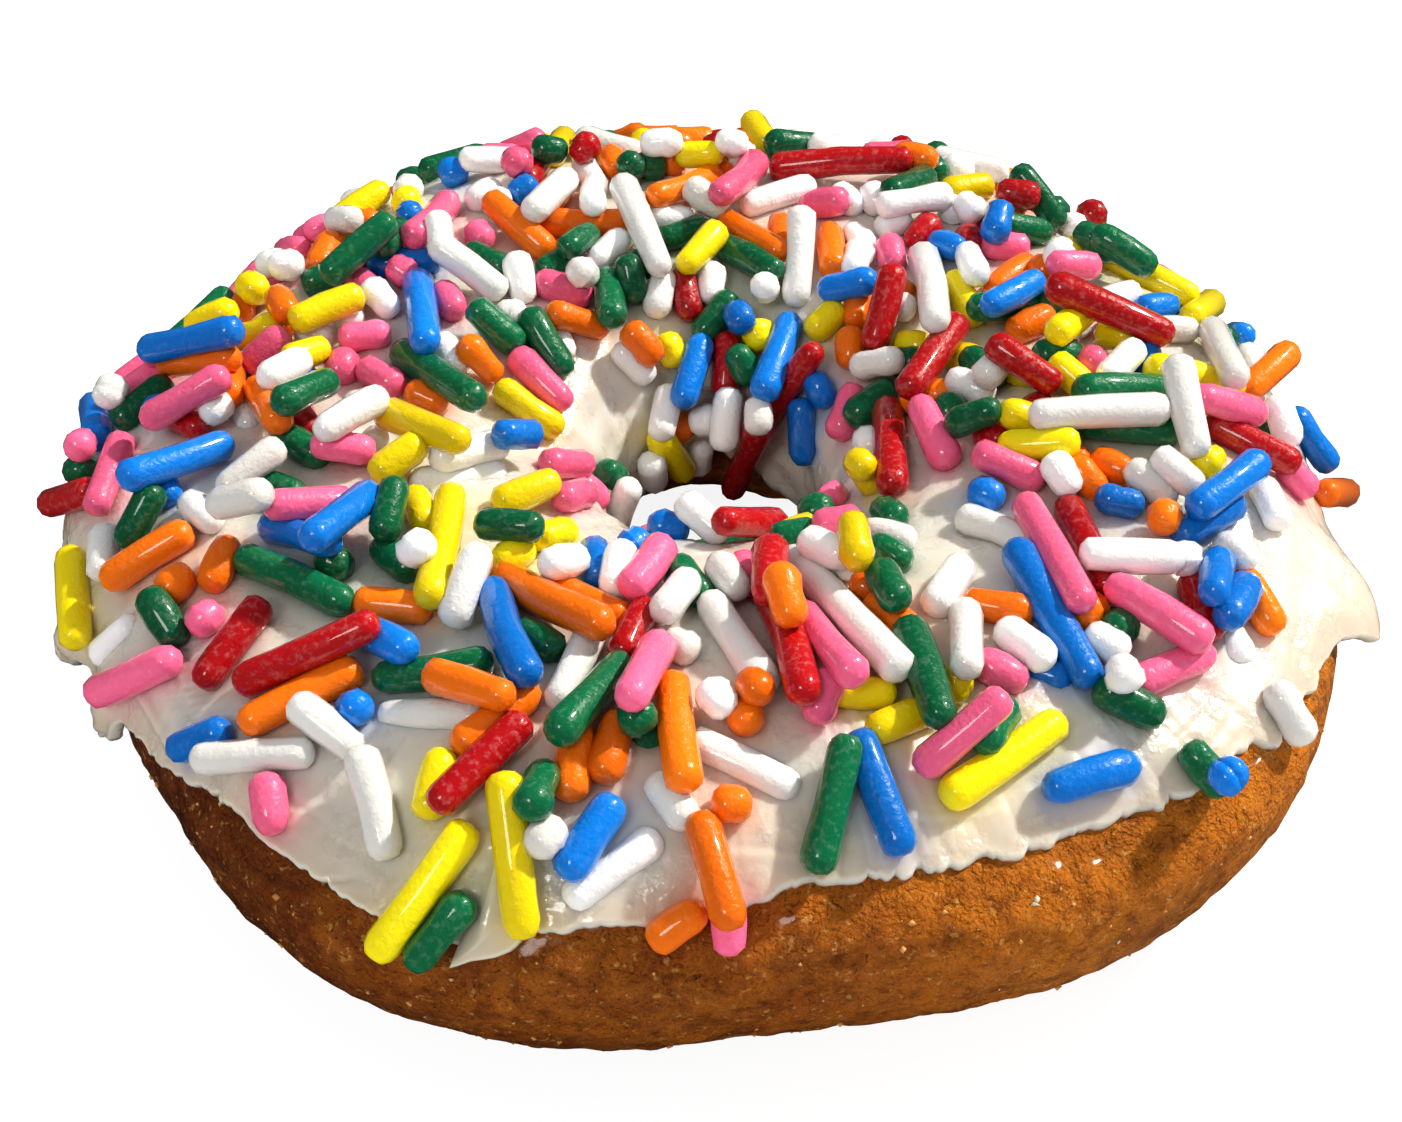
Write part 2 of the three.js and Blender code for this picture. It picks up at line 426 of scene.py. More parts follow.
def knife_strokes(points, ring, section):
    """
    Height of the spread icing, mm: slow swellings, and low ridges that run round the ring, where
    an unevenness that is long round the ring and short across it is folded at zero.
    """
    swell = 0.3 * unevenness(points, 9.0, 50.0) + 0.12 * unevenness(points, 4.0, 61.0)
    across = np.degrees(section) * 0.24 + 1.6 * np.sin(2.0 * ring + 0.6)
    wander = 0.5 * unevenness(points, 5.0, 70.0)
    stroke = unevenness(on_circle(ring, 11.0, across / 1.5 + wander), 1.0, 81.0)
    fine = unevenness(on_circle(ring, 5.0, across / 0.6 + wander), 1.0, 91.0)
    lumps = 0.03 * unevenness(points, 1.5, 95.0)
    return swell + 0.34 * (0.5 - rounded_fold(stroke)) + 0.12 * (0.5 - rounded_fold(fine)) + lumps


def icing_push(ring, section):
    """
    Distance of the icing's outer side from the skin, mm. It grows from a round bead,
    sqrt(1 - (1 - d)^2) with d the distance from the edge, to the full coat, which thins again
    down the wall of the hole.
    """
    edge = icing_edge(ring)
    end = wall_end(ring)
    degrees = np.degrees(section)
    share = (degrees - edge) / (end - edge)
    from_edge = np.clip((degrees - edge) / EDGE_BEAD, 0.0, 1.0)
    from_end = np.clip((end - degrees) / END_BEAD, 0.0, 1.0)
    bead = np.sqrt(1.0 - (1.0 - from_edge) ** 2) * np.sqrt(1.0 - (1.0 - from_end) ** 2)
    body = blend(ICING_EDGE_THICKNESS, ICING_CREST_THICKNESS, smoothstep(0.0, 0.3, share))
    thickness = blend(body, ICING_WALL_THICKNESS, smoothstep(0.55, 0.95, share)) * bead
    base = place_on_skin(ring, section)[0]
    cover = smoothstep(0.0, 0.08, share) * smoothstep(0.0, 0.1, 1.0 - share)
    relief = knife_strokes(base, ring, section) * blend(0.2, 1.0, cover)
    bare = crust_relief(base) * (1.0 - cover)
    lift = icing_lift(ring) * (1.0 - smoothstep(0.0, 0.16, share))
    return lift + thickness + relief * bead + bare, lift + bare, share


# The ring's steps are closer together at the near side, where the torn edge shows.
even_ring = np.linspace(-math.pi, math.pi, ICING_RING_STEPS, endpoint=False)[:, None]
icing_ring = even_ring - 0.3 * np.sin(even_ring)
outer_share = stretched_steps([(0, 0.13), (0.02, 0.17), (0.1, 0.7), (1, 0)], ICING_OUTER_STEPS)
under_share = np.linspace(1.0, 0.0, ICING_UNDER_STEPS)
edge_angle = icing_edge(icing_ring)
end_angle = wall_end(icing_ring)
outer_angle = np.radians(blend(edge_angle, end_angle, outer_share[None, :]))
under_angle = np.radians(blend(edge_angle, end_angle, under_share[None, :]))
outer_push, _, icing_share = icing_push(icing_ring, outer_angle)
_, under_push, _ = icing_push(icing_ring, under_angle)
outer_ring = icing_ring + icing_lean(icing_ring, outer_share[None, :])
under_ring = icing_ring + icing_lean(icing_ring, under_share[None, :])
outer_side = place_on_skin(outer_ring, outer_angle, outer_push)[0]
under_side = place_on_skin(under_ring, under_angle, under_push - UNDERSIDE_DEPTH_IN_DOUGH)[0]
icing_grid = np.concatenate([outer_side, under_side], axis=1)
icing = ring_piece("icing_coat", icing_grid)
print("torn edge, degrees of section:", np.round([edge_angle.min(), edge_angle.max()], 1))

# %% [markdown]
# ## What a sprinkle can lie on
#
# Sprinkles rest on the icing, or on the bare crust beyond its edge. To find how high a point is
# above that surface, the surface is kept as a table with one row for each half degree round the
# ring. A point's own ring angle picks the row, and the nearest point of the row gives the height.

# %% Resting surface
TABLE_RINGS = 720
TABLE_STEPS = 160

table_ring = np.linspace(-math.pi, math.pi, TABLE_RINGS, endpoint=False)[:, None]
table_section = np.radians(np.linspace(-30.0, 250.0, TABLE_STEPS))[None, :]
table_push, _, table_share = icing_push(table_ring, table_section)
on_icing = (table_share > 0.0) & (table_share < 1.0)
table_push = np.where(on_icing, table_push, 0.0)
table_points, table_normals = place_on_skin(table_ring, table_section, table_push)


def height_above(points):
    """Height of points above the surface, mm, and the surface's normals below them."""
    flat = points - PLAN_SHIFT
    ring = np.arctan2(flat[:, 0], -flat[:, 1])
    row = np.round((ring + math.pi) / (2.0 * math.pi) * TABLE_RINGS).astype(int) % TABLE_RINGS
    away = points[:, None, :] - table_points[row]
    nearest = np.argmin(np.sum(away**2, axis=-1), axis=1)
    pick = np.arange(len(points))
    normals = table_normals[row, nearest]
    return np.sum(away[pick, nearest] * normals, axis=1), normals


# %% [markdown]
# ## Dropping the sprinkles
#
# A sprinkle is a rod about 2 mm thick with soft ends. A heap of rods could be dropped by a
# physics engine, but then no rod can be laid where it is listed. Here each rod is a chain of balls that
# comes in along a given direction and stops at the first thing it meets, the surface or another chain.
# Each ball gives a travel that it needs, and the rod takes the lowest straight line over all of
# them, which is how a stiff rod comes to lie across its neighbours.

# %% Dropping
ROD_RADIUS = 0.99
BALL_SPACING = 0.85
MOST_TILT = 0.6  # travel gained for each mm of rod
MOST_BALLS = 16000
TRAVEL_ROUNDS = 4
LEAST_FACING = 0.35  # cosine, so that a slope seen edge on gives no endless travel
LONGEST_TRAVEL = 4.0  # mm in one round
NOTHING_MET = -99.0  # mm, the travel of a ball with no other in its way
REACH = 8.0  # mm around a rod within which other balls count
SHORTEST_LENGTH = 0.3  # mm, for the slope of a ball or a lump

placed_balls = np.zeros((MOST_BALLS, 4))
placed_rods = []
ball_owner = np.zeros(MOST_BALLS, dtype=int)
ball_count = 0


def chain(start, end):
    """Balls evenly spaced from start to end, and how far along the rod each one is."""
    length = np.linalg.norm(end - start)
    share = np.linspace(0.0, 1.0, 2 + int(length / BALL_SPACING))
    return blend(start[None, :], end[None, :], share[:, None]), share


def travel_to_surface(balls, direction, clearance):
    """Travel along the direction that leaves each ball clearance above the surface."""
    travel = np.zeros(len(balls))
    for _ in range(TRAVEL_ROUNDS):
        height, normals = height_above(balls + travel[:, None] * direction)
        facing = np.maximum(np.sum(normals * direction, axis=1), LEAST_FACING)
        step = (clearance - height) / facing
        travel = travel + np.clip(step, -LONGEST_TRAVEL, LONGEST_TRAVEL)
    return travel


def travel_over_rods(balls, radius, direction, closeness):
    """
    Travel that brings each ball past every placed one. A placed ball at offset o and distance
    apart D = closeness * (r1 + r2) is cleared at t = -o.d + sqrt((o.d)^2 - |o|^2 + D^2).
    """
    others = placed_balls[:ball_count]
    middle = balls.mean(axis=0)
    reach = REACH + np.ptp(balls, axis=0).max()
    others = others[np.abs(others[:, :3] - middle).max(axis=1) < reach]
    if len(others) == 0:
        return np.full(len(balls), NOTHING_MET)
    offset = balls[:, None, :] - others[None, :, :3]
    along = np.sum(offset * direction[:, None, :], axis=-1)
    apart = closeness * (radius + others[None, :, 3])
    root = along**2 - np.sum(offset**2, axis=-1) + apart**2
    cleared = -along + np.sqrt(np.maximum(root, 0.0))
    travel = np.where(root > 0.0, cleared, NOTHING_MET)
    return travel.max(axis=1)


def resting_line(share, needed, length):
    """Travel of both ends: the lowest line over the needed travels, balanced at the middle."""
    left = share <= 0.5
    first, second = needed[left][:, None], needed[~left][None, :]
    at, to = share[left][:, None], share[~left][None, :]
    slope = (second - first) / (to - at)
    middle = first + slope * (0.5 - at)
    best = np.unravel_index(np.argmax(middle), middle.shape)
    steepest = MOST_TILT * length
    slope = float(np.clip(slope[best], -steepest, steepest))
    base = float(np.max(needed - slope * share))
    return base, base + slope


def rest(start, end, radius, direction, sink, closeness):
    """Ends of a rod after it came to rest, and how far above the bare icing its middle is."""
    balls, share = chain(start, end)
    directions = direction(balls)
    on_icing = travel_to_surface(balls, directions, radius - sink)
    needed = np.maximum(on_icing, travel_over_rods(balls, radius, directions, closeness))
    length = np.linalg.norm(end - start)
    first, second = resting_line(share, needed, max(length, SHORTEST_LENGTH))
    rise = (first + second) / 2.0 - on_icing.mean()
    return start + first * directions[0], end + second * directions[-1], rise


def keep_rod(colour, start, end, radius):
    """Adds a rod to the heap."""
    global ball_count
    balls, _ = chain(start, end)
    placed_balls[ball_count : ball_count + len(balls), :3] = balls
    placed_balls[ball_count : ball_count + len(balls), 3] = radius
    ball_owner[ball_count : ball_count + len(balls)] = len(placed_rods)
    ball_count += len(balls)
    placed_rods.append((colour, start, end, radius))


# %% [markdown]
# ## The sprinkles that are listed
#
# A heap that is only thrown has no likeness to a given one, so the sprinkles that show from the
# front are laid one by one: ring angle and section angle of one end, then of the other end, in
# degrees. Layer 0 is pressed half way into the icing, 1 lies on it, and 2 and 3 lie on top of
# others. A line with one pair of angles is a ball or a short lump. They come in along the line of
# sight, so that each one shows where it is laid however high the heap is below it. Where that
# would leave one standing high, as on a slope seen edge on, it comes in square to the skin.

# %% Sprinkles laid one by one
HAND_LEVEL = 2.0  # mm above the dough's skin, where the listed angles are read
HAND_CLOSENESS = 0.8
MOST_LIFT = 1.2  # mm that the line of sight may leave a rod higher than the normal would
SINKS = (1.25, 0.4, 0.3, 0.3)

HAND_LAID = {
    "red": [
        (-86, 22, -84, 37, 1), (-57, 64, -53, 48, 1), (-46, 79, -49, 55, 2), (-21, 75, -24, 57, 3),
        (-11, 104, -12, 94, 2), (14, 112, 13, 84, 3), (62, 66, 58, 60, 1), (68, 91, 57, 81, 1),
        (90, 63, 87, 45, 2), (-92, 62, -90, 66, 1), (-93, 85, -89, 87, 1), (-166, 45, 3),
        (-155, 73, -158, 64, 1), (-175, 118, -176, 129, 2), (172, 143, 171, 158, 1),
        (144, 141, 152, 168, 1), (154, 172, 166, 196, 1), (169, 69, 156, 50, 3), (144, 84, 144, 88, 1),
        (138, 81, 137, 83, 1), (138, 76, 136, 75, 1), (142, 48, 141, 40, 3), (132, 42, 2),
        (141, 103, 131, 124, 3), (122, 105, 112, 127, 3), (112, 100, 100, 95, 3),
        (107, 138, 71, 135, 3), (88, 105, 92, 99, 1), (85, 111, 84, 109, 1), (121, 78, 108, 66, 3),
        (10, 135, 33, 155, 3), (21, 134, 14, 113, 3),
    ],
    "orange": [
        (-73, 57, -72, 38, 2), (-68, 65, -65, 60, 1), (-67, 52, 1), (-42, 70, -45, 50, 1),
        (-22, 82, -25, 70, 2), (-33, 80, -25, 81, 2), (-49, 83, -44, 88, 1), (-38, 103, -18, 100, 2),
        (-30, 107, -16, 103, 1), (-4, 86, -2, 67, 2), (-14, 75, -13, 65, 1), (-10, 78, -10, 69, 1),
        (3, 59, 1), (0, 54, 2, 33, 2), (-1, 33, -3, 29, 1), (7, 85, 2), (5, 79, 1),
        (18, 117, 16, 104, 3), (43, 92, 46, 88, 1), (31, 106, 34, 103, 1), (30, 99, 31, 93, 1),
        (66, 56, 63, 48, 1), (52, 80, 1), (71, 76, 2), (85, 31, 90, 12, 1), (-103, 49, -103, 65, 2),
        (-102, 67, -96, 71, 1), (-97, 77, -91, 82, 2), (-115, 63, -113, 68, 2), (-110, 71, 1),
        (-99, 106, -98, 110, 2), (-134, 57, 2), (-128, 55, -124, 60, 1), (-114, 53, -112, 56, 1),
        (-145, 87, -148, 99, 3), (-154, 90, -165, 94, 1), (-155, 87, -158, 83, 1),
        (-170, 43, -172, 46, 2), (-177, 45, 180, 43, 3), (-176, 68, -176, 60, 1), (179, 72, 177, 71, 1),
        (-173, 85, 179, 77, 2), (-168, 62, -168, 68, 1), (-173, 52, -176, 54, 1),
        (-140, 120, -148, 129, 2), (175, 94, 165, 104, 2), (166, 94, 165, 100, 1),
        (157, 95, 153, 106, 2), (-158, 137, -161, 144, 2), (-170, 173, 1), (-116, 110, -113, 118, 2),
        (175, 42, 1), (156, 42, 154, 40, 2), (126, 89, 128, 79, 1), (126, 76, 1), (136, 107, 1),
        (112, 95, 113, 90, 2), (106, 129, 104, 122, 1), (80, 100, 79, 92, 1), (142, 117, 140, 121, 1),
        (136, 130, 133, 134, 1), (140, 52, 1), (105, 74, 1), (97, 51, 101, 38, 3), (79, 88, 78, 85, 1),
        (77, 91, 74, 89, 1),
    ],
    "yellow": [
        (-77, 26, -70, 16, 1), (-21, 49, -24, 19, 2), (-19, 62, -14, 32, 1), (-26, 63, -25, 55, 1),
        (18, 82, 22, 81, 1), (20, 73, 26, 76, 1), (36, 64, 24, 56, 1), (31, 80, 1), (83, 67, 1),
        (82, 105, 83, 94, 1), (-107, 66, -109, 69, 1), (-112, 74, -118, 79, 2), (-104, 80, -106, 83, 2),
        (-93, 101, -88, 116, 2), (-77, 98, -83, 105, 2), (-134, 50, 1), (-110, 45, -112, 50, 2),
        (-113, 60, 1), (-163, 50, -160, 66, 3), (-173, 42, 1), (-178, 62, 179, 61, 2),
        (174, 46, 172, 58, 2), (178, 99, -177, 110, 3), (163, 138, 2), (-168, 143, -169, 146, 1),
        (-159, 176, -170, 188, 1), (146, 124, 147, 130, 2), (-108, 126, -105, 142, 2),
        (-159, 43, -161, 43, 1), (145, 71, 143, 63, 1), (128, 60, 127, 57, 1), (131, 94, 123, 98, 2),
        (112, 87, 115, 78, 2), (103, 91, 96, 89, 2), (124, 119, 122, 117, 1), (114, 111, 112, 109, 1),
        (100, 102, 99, 99, 1), (81, 105, 83, 95, 1), (90, 152, 86, 150, 2), (78, 146, 1),
        (123, 58, 115, 46, 3), (111, 51, 115, 33, 2), (109, 78, 108, 76, 2), (100, 73, 98, 55, 2),
        (-66, 100, -61, 99, 1), (-64, 107, -45, 91, 1), (-60, 120, -67, 135, 2),
        (-44, 122, -43, 127, 1), (-43, 108, -43, 112, 1), (48, 134, 37, 119, 3), (42, 155, 45, 153, 1),
    ],
    "green": [
        (-80, 54, -76, 46, 2), (-66, 44, -61, 45, 1), (-63, 68, -50, 78, 2), (-78, 78, -75, 82, 1),
        (-59, 82, 1), (-88, 34, 1), (-19, 33, -21, 19, 1), (-16, 66, -16, 60, 1), (-38, 75, -30, 85, 1),
        (-27, 93, -23, 92, 1), (-12, 90, -16, 77, 2), (-8, 80, 1), (-6, 76, 0), (31, 91, 27, 75, 2),
        (33, 71, 30, 67, 1), (15, 68, 10, 44, 2), (36, 108, 34, 101, 1), (44, 65, 45, 57, 1),
        (52, 74, 1), (83, 91, 85, 77, 2), (45, 42, 45, 35, 1), (-94, 46, -98, 52, 1),
        (-95, 83, -99, 88, 2), (-109, 98, -102, 118, 2), (-87, 84, -83, 88, 1), (-123, 67, -134, 64, 3),
        (-134, 70, -131, 71, 2), (-120, 66, -122, 68, 1), (-116, 38, -109, 33, 2),
        (-147, 45, -153, 45, 3), (-170, 68, 2), (-173, 70, 1), (-167, 50, -168, 55, 1),
        (-161, 46, -162, 48, 1), (171, 45, 167, 45, 2), (-154, 99, -158, 97, 2),
        (-147, 104, -150, 103, 1), (-138, 90, -139, 97, 1), (-126, 105, -124, 117, 2),
        (-133, 117, -128, 133, 2), (-157, 115, -154, 127, 2), (-163, 113, -162, 121, 2), (-166, 113, 1),
        (-173, 101, -179, 97, 2), (175, 104, 165, 112, 2), (174, 127, 179, 137, 2),
        (167, 148, 164, 152, 1), (153, 46, 151, 54, 1), (153, 73, 151, 62, 2), (138, 61, 133, 58, 2),
        (133, 78, 131, 69, 2), (118, 101, 118, 90, 3), (107, 92, 106, 89, 1), (119, 84, 118, 82, 1),
        (111, 108, 105, 106, 1), (121, 125, 119, 122, 1), (115, 147, 115, 136, 2),
        (90, 118, 92, 111, 2), (95, 121, 1), (130, 38, 124, 38, 2), (131, 45, 127, 47, 1),
        (96, 89, 96, 76, 3), (92, 48, 1), (-70, 97, -62, 92, 3), (-57, 90, -52, 91, 1),
        (-54, 112, -50, 121, 2), (-6, 122, -1, 112, 1), (33, 148, 40, 147, 1), (44, 143, 1),
        (58, 131, 56, 127, 1), (39, 113, 40, 109, 1), (-112, 170, -118, 174, 1),
    ],
    "blue": [
        (-84, 51, -86, 71, 2), (-38, 66, 1), (-49, 32, -47, 41, 1), (-69, 76, -63, 83, 1),
        (-65, 82, -70, 92, 2), (-80, 58, 1), (-9, 59, -11, 47, 2), (-37, 98, -24, 87, 2),
        (-45, 79, -40, 81, 1), (17, 69, 17, 46, 1), (40, 76, 41, 73, 0), (51, 92, 43, 70, 2),
        (33, 51, 39, 49, 1), (65, 56, 61, 57, 1), (67, 63, 63, 62, 2), (84, 56, 75, 69, 2),
        (76, 63, 70, 71, 1), (95, 34, 91, 26, 1), (72, 86, 72, 83, 1), (46, 34, 1), (67, 107, 1),
        (-98, 29, -92, 38, 1), (-98, 80, -100, 84, 1), (-126, 88, -114, 99, 2), (-138, 66, 1),
        (-127, 76, -131, 85, 1), (-108, 59, -107, 33, 2), (-148, 56, 2), (-153, 77, -154, 76, 1),
        (170, 131, 169, 133, 2), (-179, 144, -172, 161, 2), (155, 133, 155, 157, 2),
        (137, 160, 130, 174, 1), (136, 149, 132, 151, 1), (-93, 130, -96, 136, 2),
        (140, 87, 138, 86, 1), (139, 65, 137, 72, 3), (123, 92, 124, 82, 3), (150, 115, 145, 108, 3),
        (113, 63, 113, 57, 2), (101, 75, 103, 74, 1), (-30, 125, -24, 117, 1), (-23, 136, 1),
        (-18, 148, -13, 148, 1),
    ],
    "pink": [
        (-89, 47, -82, 40, 1), (-60, 53, 1), (-62, 17, -58, 40, 1), (-39, 40, -37, 35, 1),
        (-73, 79, -70, 88, 1), (-92, 32, 1), (-7, 94, -9, 85, 2), (2, 33, 2, 27, 1),
        (18, 101, 20, 87, 2), (16, 84, 14, 79, 1), (33, 73, 23, 64, 1), (36, 81, 37, 77, 1),
        (47, 63, 54, 58, 2), (57, 78, 56, 61, 2), (66, 98, 53, 83, 2), (85, 44, 84, 41, 1),
        (79, 111, 74, 100, 1), (-101, 36, -104, 46, 1), (-98, 42, -101, 50, 1), (-106, 36, -106, 42, 1),
        (-93, 55, -99, 66, 3), (-103, 72, -107, 73, 2), (-110, 87, -112, 90, 2),
        (-103, 94, -101, 99, 2), (-104, 89, 1), (-78, 89, -77, 94, 2), (-126, 94, -124, 98, 1),
        (-143, 70, -135, 75, 2), (-131, 30, -132, 36, 2), (-127, 36, -127, 42, 1),
        (-118, 47, -120, 54, 1), (-122, 77, -121, 81, 1), (-127, 83, 1), (-154, 48, -156, 52, 1),
        (-156, 60, 1), (177, 83, 173, 67, 3), (-144, 109, -149, 116, 2), (-120, 124, -117, 140, 2),
        (-85, 144, -97, 157, 1), (126, 70, 124, 64, 2), (132, 83, 130, 79, 1), (144, 98, 142, 101, 1),
        (107, 80, 2), (103, 86, 1), (100, 128, 80, 122, 3), (122, 145, 116, 155, 1),
        (123, 31, 119, 31, 1), (95, 64, 94, 51, 2), (-84, 92, 1), (-52, 133, -57, 143, 1),
        (-78, 155, -72, 158, 0), (-14, 134, -15, 115, 3), (11, 126, 10, 117, 1), (50, 147, 52, 140, 1),
        (66, 153, 60, 150, 1),
    ],
    "white": [
        (-77, 39, -74, 35, 1), (-65, 34, -65, 24, 0), (-42, 59, -36, 59, 1), (-46, 35, -39, 51, 2),
        (-33, 57, -27, 43, 1), (-79, 72, -84, 81, 1), (-77, 63, -74, 65, 1), (-76, 69, -76, 76, 1),
        (-14, 52, 1), (-5, 51, -10, 40, 0), (-34, 69, -26, 75, 0), (-47, 103, -39, 91, 2),
        (-18, 95, -18, 84, 1), (-3, 94, 1), (-4, 64, -2, 58, 1), (2, 83, 1), (2, 106, 8, 87, 1),
        (24, 124, 26, 87, 2), (0, 73, 8, 62, 0), (42, 85, 42, 79, 1), (47, 101, 39, 96, 1),
        (40, 91, 34, 83, 1), (61, 85, 65, 73, 2), (66, 70, 1), (49, 75, 49, 72, 1), (47, 67, 1),
        (80, 54, 77, 51, 1), (69, 62, 67, 59, 1), (78, 82, 75, 77, 1), (77, 95, 74, 93, 2),
        (56, 37, 55, 28, 1), (58, 54, 57, 52, 0), (60, 108, 59, 96, 1), (-99, 34, 1),
        (-100, 78, -103, 81, 2), (-109, 79, -109, 81, 1), (-89, 90, -96, 97, 2), (-86, 98, -84, 97, 1),
        (-114, 104, -111, 109, 1), (-139, 76, -135, 84, 3), (-135, 84, -134, 101, 3),
        (-138, 34, -139, 46, 3), (-141, 58, 2), (-134, 40, -134, 47, 2), (-123, 46, -123, 50, 2),
        (-124, 36, -124, 40, 1), (-121, 82, -119, 87, 1), (-114, 83, 1), (-93, 69, 2),
        (-93, 75, -90, 77, 0), (-153, 85, -160, 75, 3), (-164, 66, -164, 73, 2),
        (-164, 78, -162, 87, 3), (-174, 45, -176, 45, 2), (177, 45, 176, 48, 2), (175, 60, 1),
        (172, 87, 165, 79, 3), (-179, 83, 178, 88, 2), (-168, 81, -170, 112, 3),
        (-149, 78, -148, 82, 2), (-149, 65, -154, 66, 2), (-147, 74, -149, 73, 1),
        (-158, 106, -163, 102, 1), (-153, 109, 2), (-142, 99, -138, 107, 2), (-170, 119, -167, 128, 2),
        (178, 116, 178, 122, 1), (-172, 93, -176, 93, 1), (163, 91, 157, 120, 3), (165, 119, 2),
        (-165, 161, -160, 171, 1), (-152, 142, -156, 150, 1), (169, 164, 170, 178, 2),
        (156, 166, 155, 170, 1), (178, 155, 0), (-80, 112, -87, 126, 1), (-130, 111, 1),
        (-135, 124, -133, 130, 0), (163, 42, 166, 43, 2), (159, 42, 1), (151, 48, 145, 43, 3),
        (143, 40, 141, 42, 2), (152, 80, 147, 70, 3), (159, 80, 157, 83, 2), (154, 80, 1),
        (148, 91, 147, 89, 2), (153, 93, 151, 95, 1), (150, 99, 149, 104, 2), (142, 79, 2),
        (143, 69, 142, 70, 2), (132, 50, 1), (128, 66, 1), (135, 86, 131, 89, 2),
        (140, 92, 126, 107, 3), (133, 111, 1), (109, 87, 111, 82, 1), (106, 115, 100, 111, 1),
        (98, 106, 94, 110, 2), (127, 134, 123, 127, 1), (99, 148, 96, 147, 1), (106, 68, 106, 62, 3),
        (108, 49, 100, 52, 2), (104, 42, 101, 43, 1), (104, 77, 99, 84, 2), (100, 68, 86, 70, 3),
        (96, 40, 92, 41, 1), (90, 98, 92, 77, 3), (81, 77, 78, 72, 1), (-55, 95, 2),
        (-71, 104, -72, 121, 0), (-34, 114, -32, 118, 1), (-23, 127, -19, 114, 1), (-5, 147, 5, 144, 2),
        (5, 124, 7, 115, 1), (-4, 116, -7, 106, 2), (33, 131, 34, 122, 2), (30, 111, 1),
        (43, 120, 45, 114, 1), (-152, 182, -154, 187, 1), (-135, 186, -125, 193, 1),
        (-179, 181, -178, 186, 0), (180, 171, 1),
    ],
}


def towards_camera(balls):
    """Unit directions from the balls to the camera."""
    away = camera_place - balls
    return away / np.linalg.norm(away, axis=1, keepdims=True)


def lay(ring, section, ends, radius, sink):
    """
    Ends at rest. A rod comes in along the line of sight, or along the skin's normal where the
    line of sight, nearly level with the skin, would leave it standing much higher.
    """
    _, normal = place_on_skin(ring.mean(), section.mean(), HAND_LEVEL)
    inwards = lambda balls: np.broadcast_to(normal, balls.shape)
    seen = rest(ends[0], ends[1], radius, towards_camera, sink, HAND_CLOSENESS)[:2]
    pressed = rest(ends[0], ends[1], radius, inwards, sink, HAND_CLOSENESS)[:2]
    middles = np.array([(seen[0] + seen[1]) / 2.0, (pressed[0] + pressed[1]) / 2.0])
    height = height_above(middles)[0]
    return seen if height[0] < height[1] + MOST_LIFT else pressed


draw = np.random.default_rng(2024)
hand_laid = [(line[-1], colour, line[:-1]) for colour, lines in HAND_LAID.items() for line in lines]
hand_laid.sort(key=lambda item: item[0])
for layer, colour, angles in hand_laid:
    ring = np.radians([angles[0], angles[-2]])
    section = np.radians([angles[1], angles[-1]])
    ends = place_on_skin(ring, section, HAND_LEVEL)[0]
    radius = ROD_RADIUS * draw.uniform(0.95, 1.05)
    if len(angles) == 2:
        radius = ROD_RADIUS * draw.uniform(1.0, 1.12)
        ends[1] = ends[0] + draw.uniform(-0.3, 0.3, 3)
    # The middle of two ring angles on either side of 180 is found on the short way round.
    ring[1] = ring[0] + (ring[1] - ring[0] + math.pi) % (2.0 * math.pi) - math.pi
    start, end = lay(ring, section, ends, radius, SINKS[layer])
    keep_rod(colour, start, end, radius)
print("sprinkles laid by hand:", len(placed_rods))

# %% [markdown]
# ## The sprinkles that fall where they may
#
# The rest of the heap is thrown. Each rod tries a few random places and takes the lowest, so that
# bare icing fills up first, and a rod that would lie too high is not kept. How likely a place is
# follows from the two angles: the far slope beyond the horizon is thick with them, the far crest
# gets a few in its gaps, and the near side gets them only low on the wall of the hole.

# %% Sprinkles that fall
COLOUR_SHARES = {
    "white": 0.25, "orange": 0.14, "green": 0.14, "pink": 0.14,
    "yellow": 0.12, "blue": 0.11, "red": 0.10,
}
THROWN = 1100
TRIES = 5
LOWEST_RISE = 0.2  # mm above the place it would have on bare icing
HIGHEST_RISE = 0.8
FILLING_RISE = 0.4
FILLING = 0.4  # how likely, in the gaps of the far crest
WALL_LIKELY = 0.8  # how likely, on the near wall of the hole
THROWN_CLOSENESS = 0.92
THROWN_LEVEL = 2.0  # mm above the dough's skin, where a thrown rod starts
THROWN_SINK = 0.4
# Where rods are thrown, in degrees of the ring and of the section.
NEAR_SIDE = 92
NEAR_WALL_SIDE = 50
NEAR_WALL_FROM = 166
NEAR_WALL_DEEP = 180
HORIZON_SHARE = 0.85
PAST_HORIZON = 2.0
WELL_HIDDEN = 14.0
FILLING_PAST_HORIZON = 12.0
FILLING_FROM = 48.0
FILLING_TO = 125
THROWN_FROM = 15.0
THROWN_TO = 205.0
# Half the straight length of a thrown rod, mm, and how often each is drawn.
HALF_LENGTHS = [0.25, 1.0, 1.6, 2.2, 2.9]
HALF_LENGTH_ODDS = [0.16, 0.24, 0.28, 0.2, 0.12]


def horizon(ring):
    """
    Section angle, in degrees, below which the far outer slope hides from the camera:
    a slope turned away by -cos(ring) is seen where tan(section) > -cos(ring) / tan(elevation).
    """
    away = -math.cos(math.radians(ring)) / math.tan(CAMERA_ELEVATION)
    return math.degrees(math.atan(max(away, 0.0)))


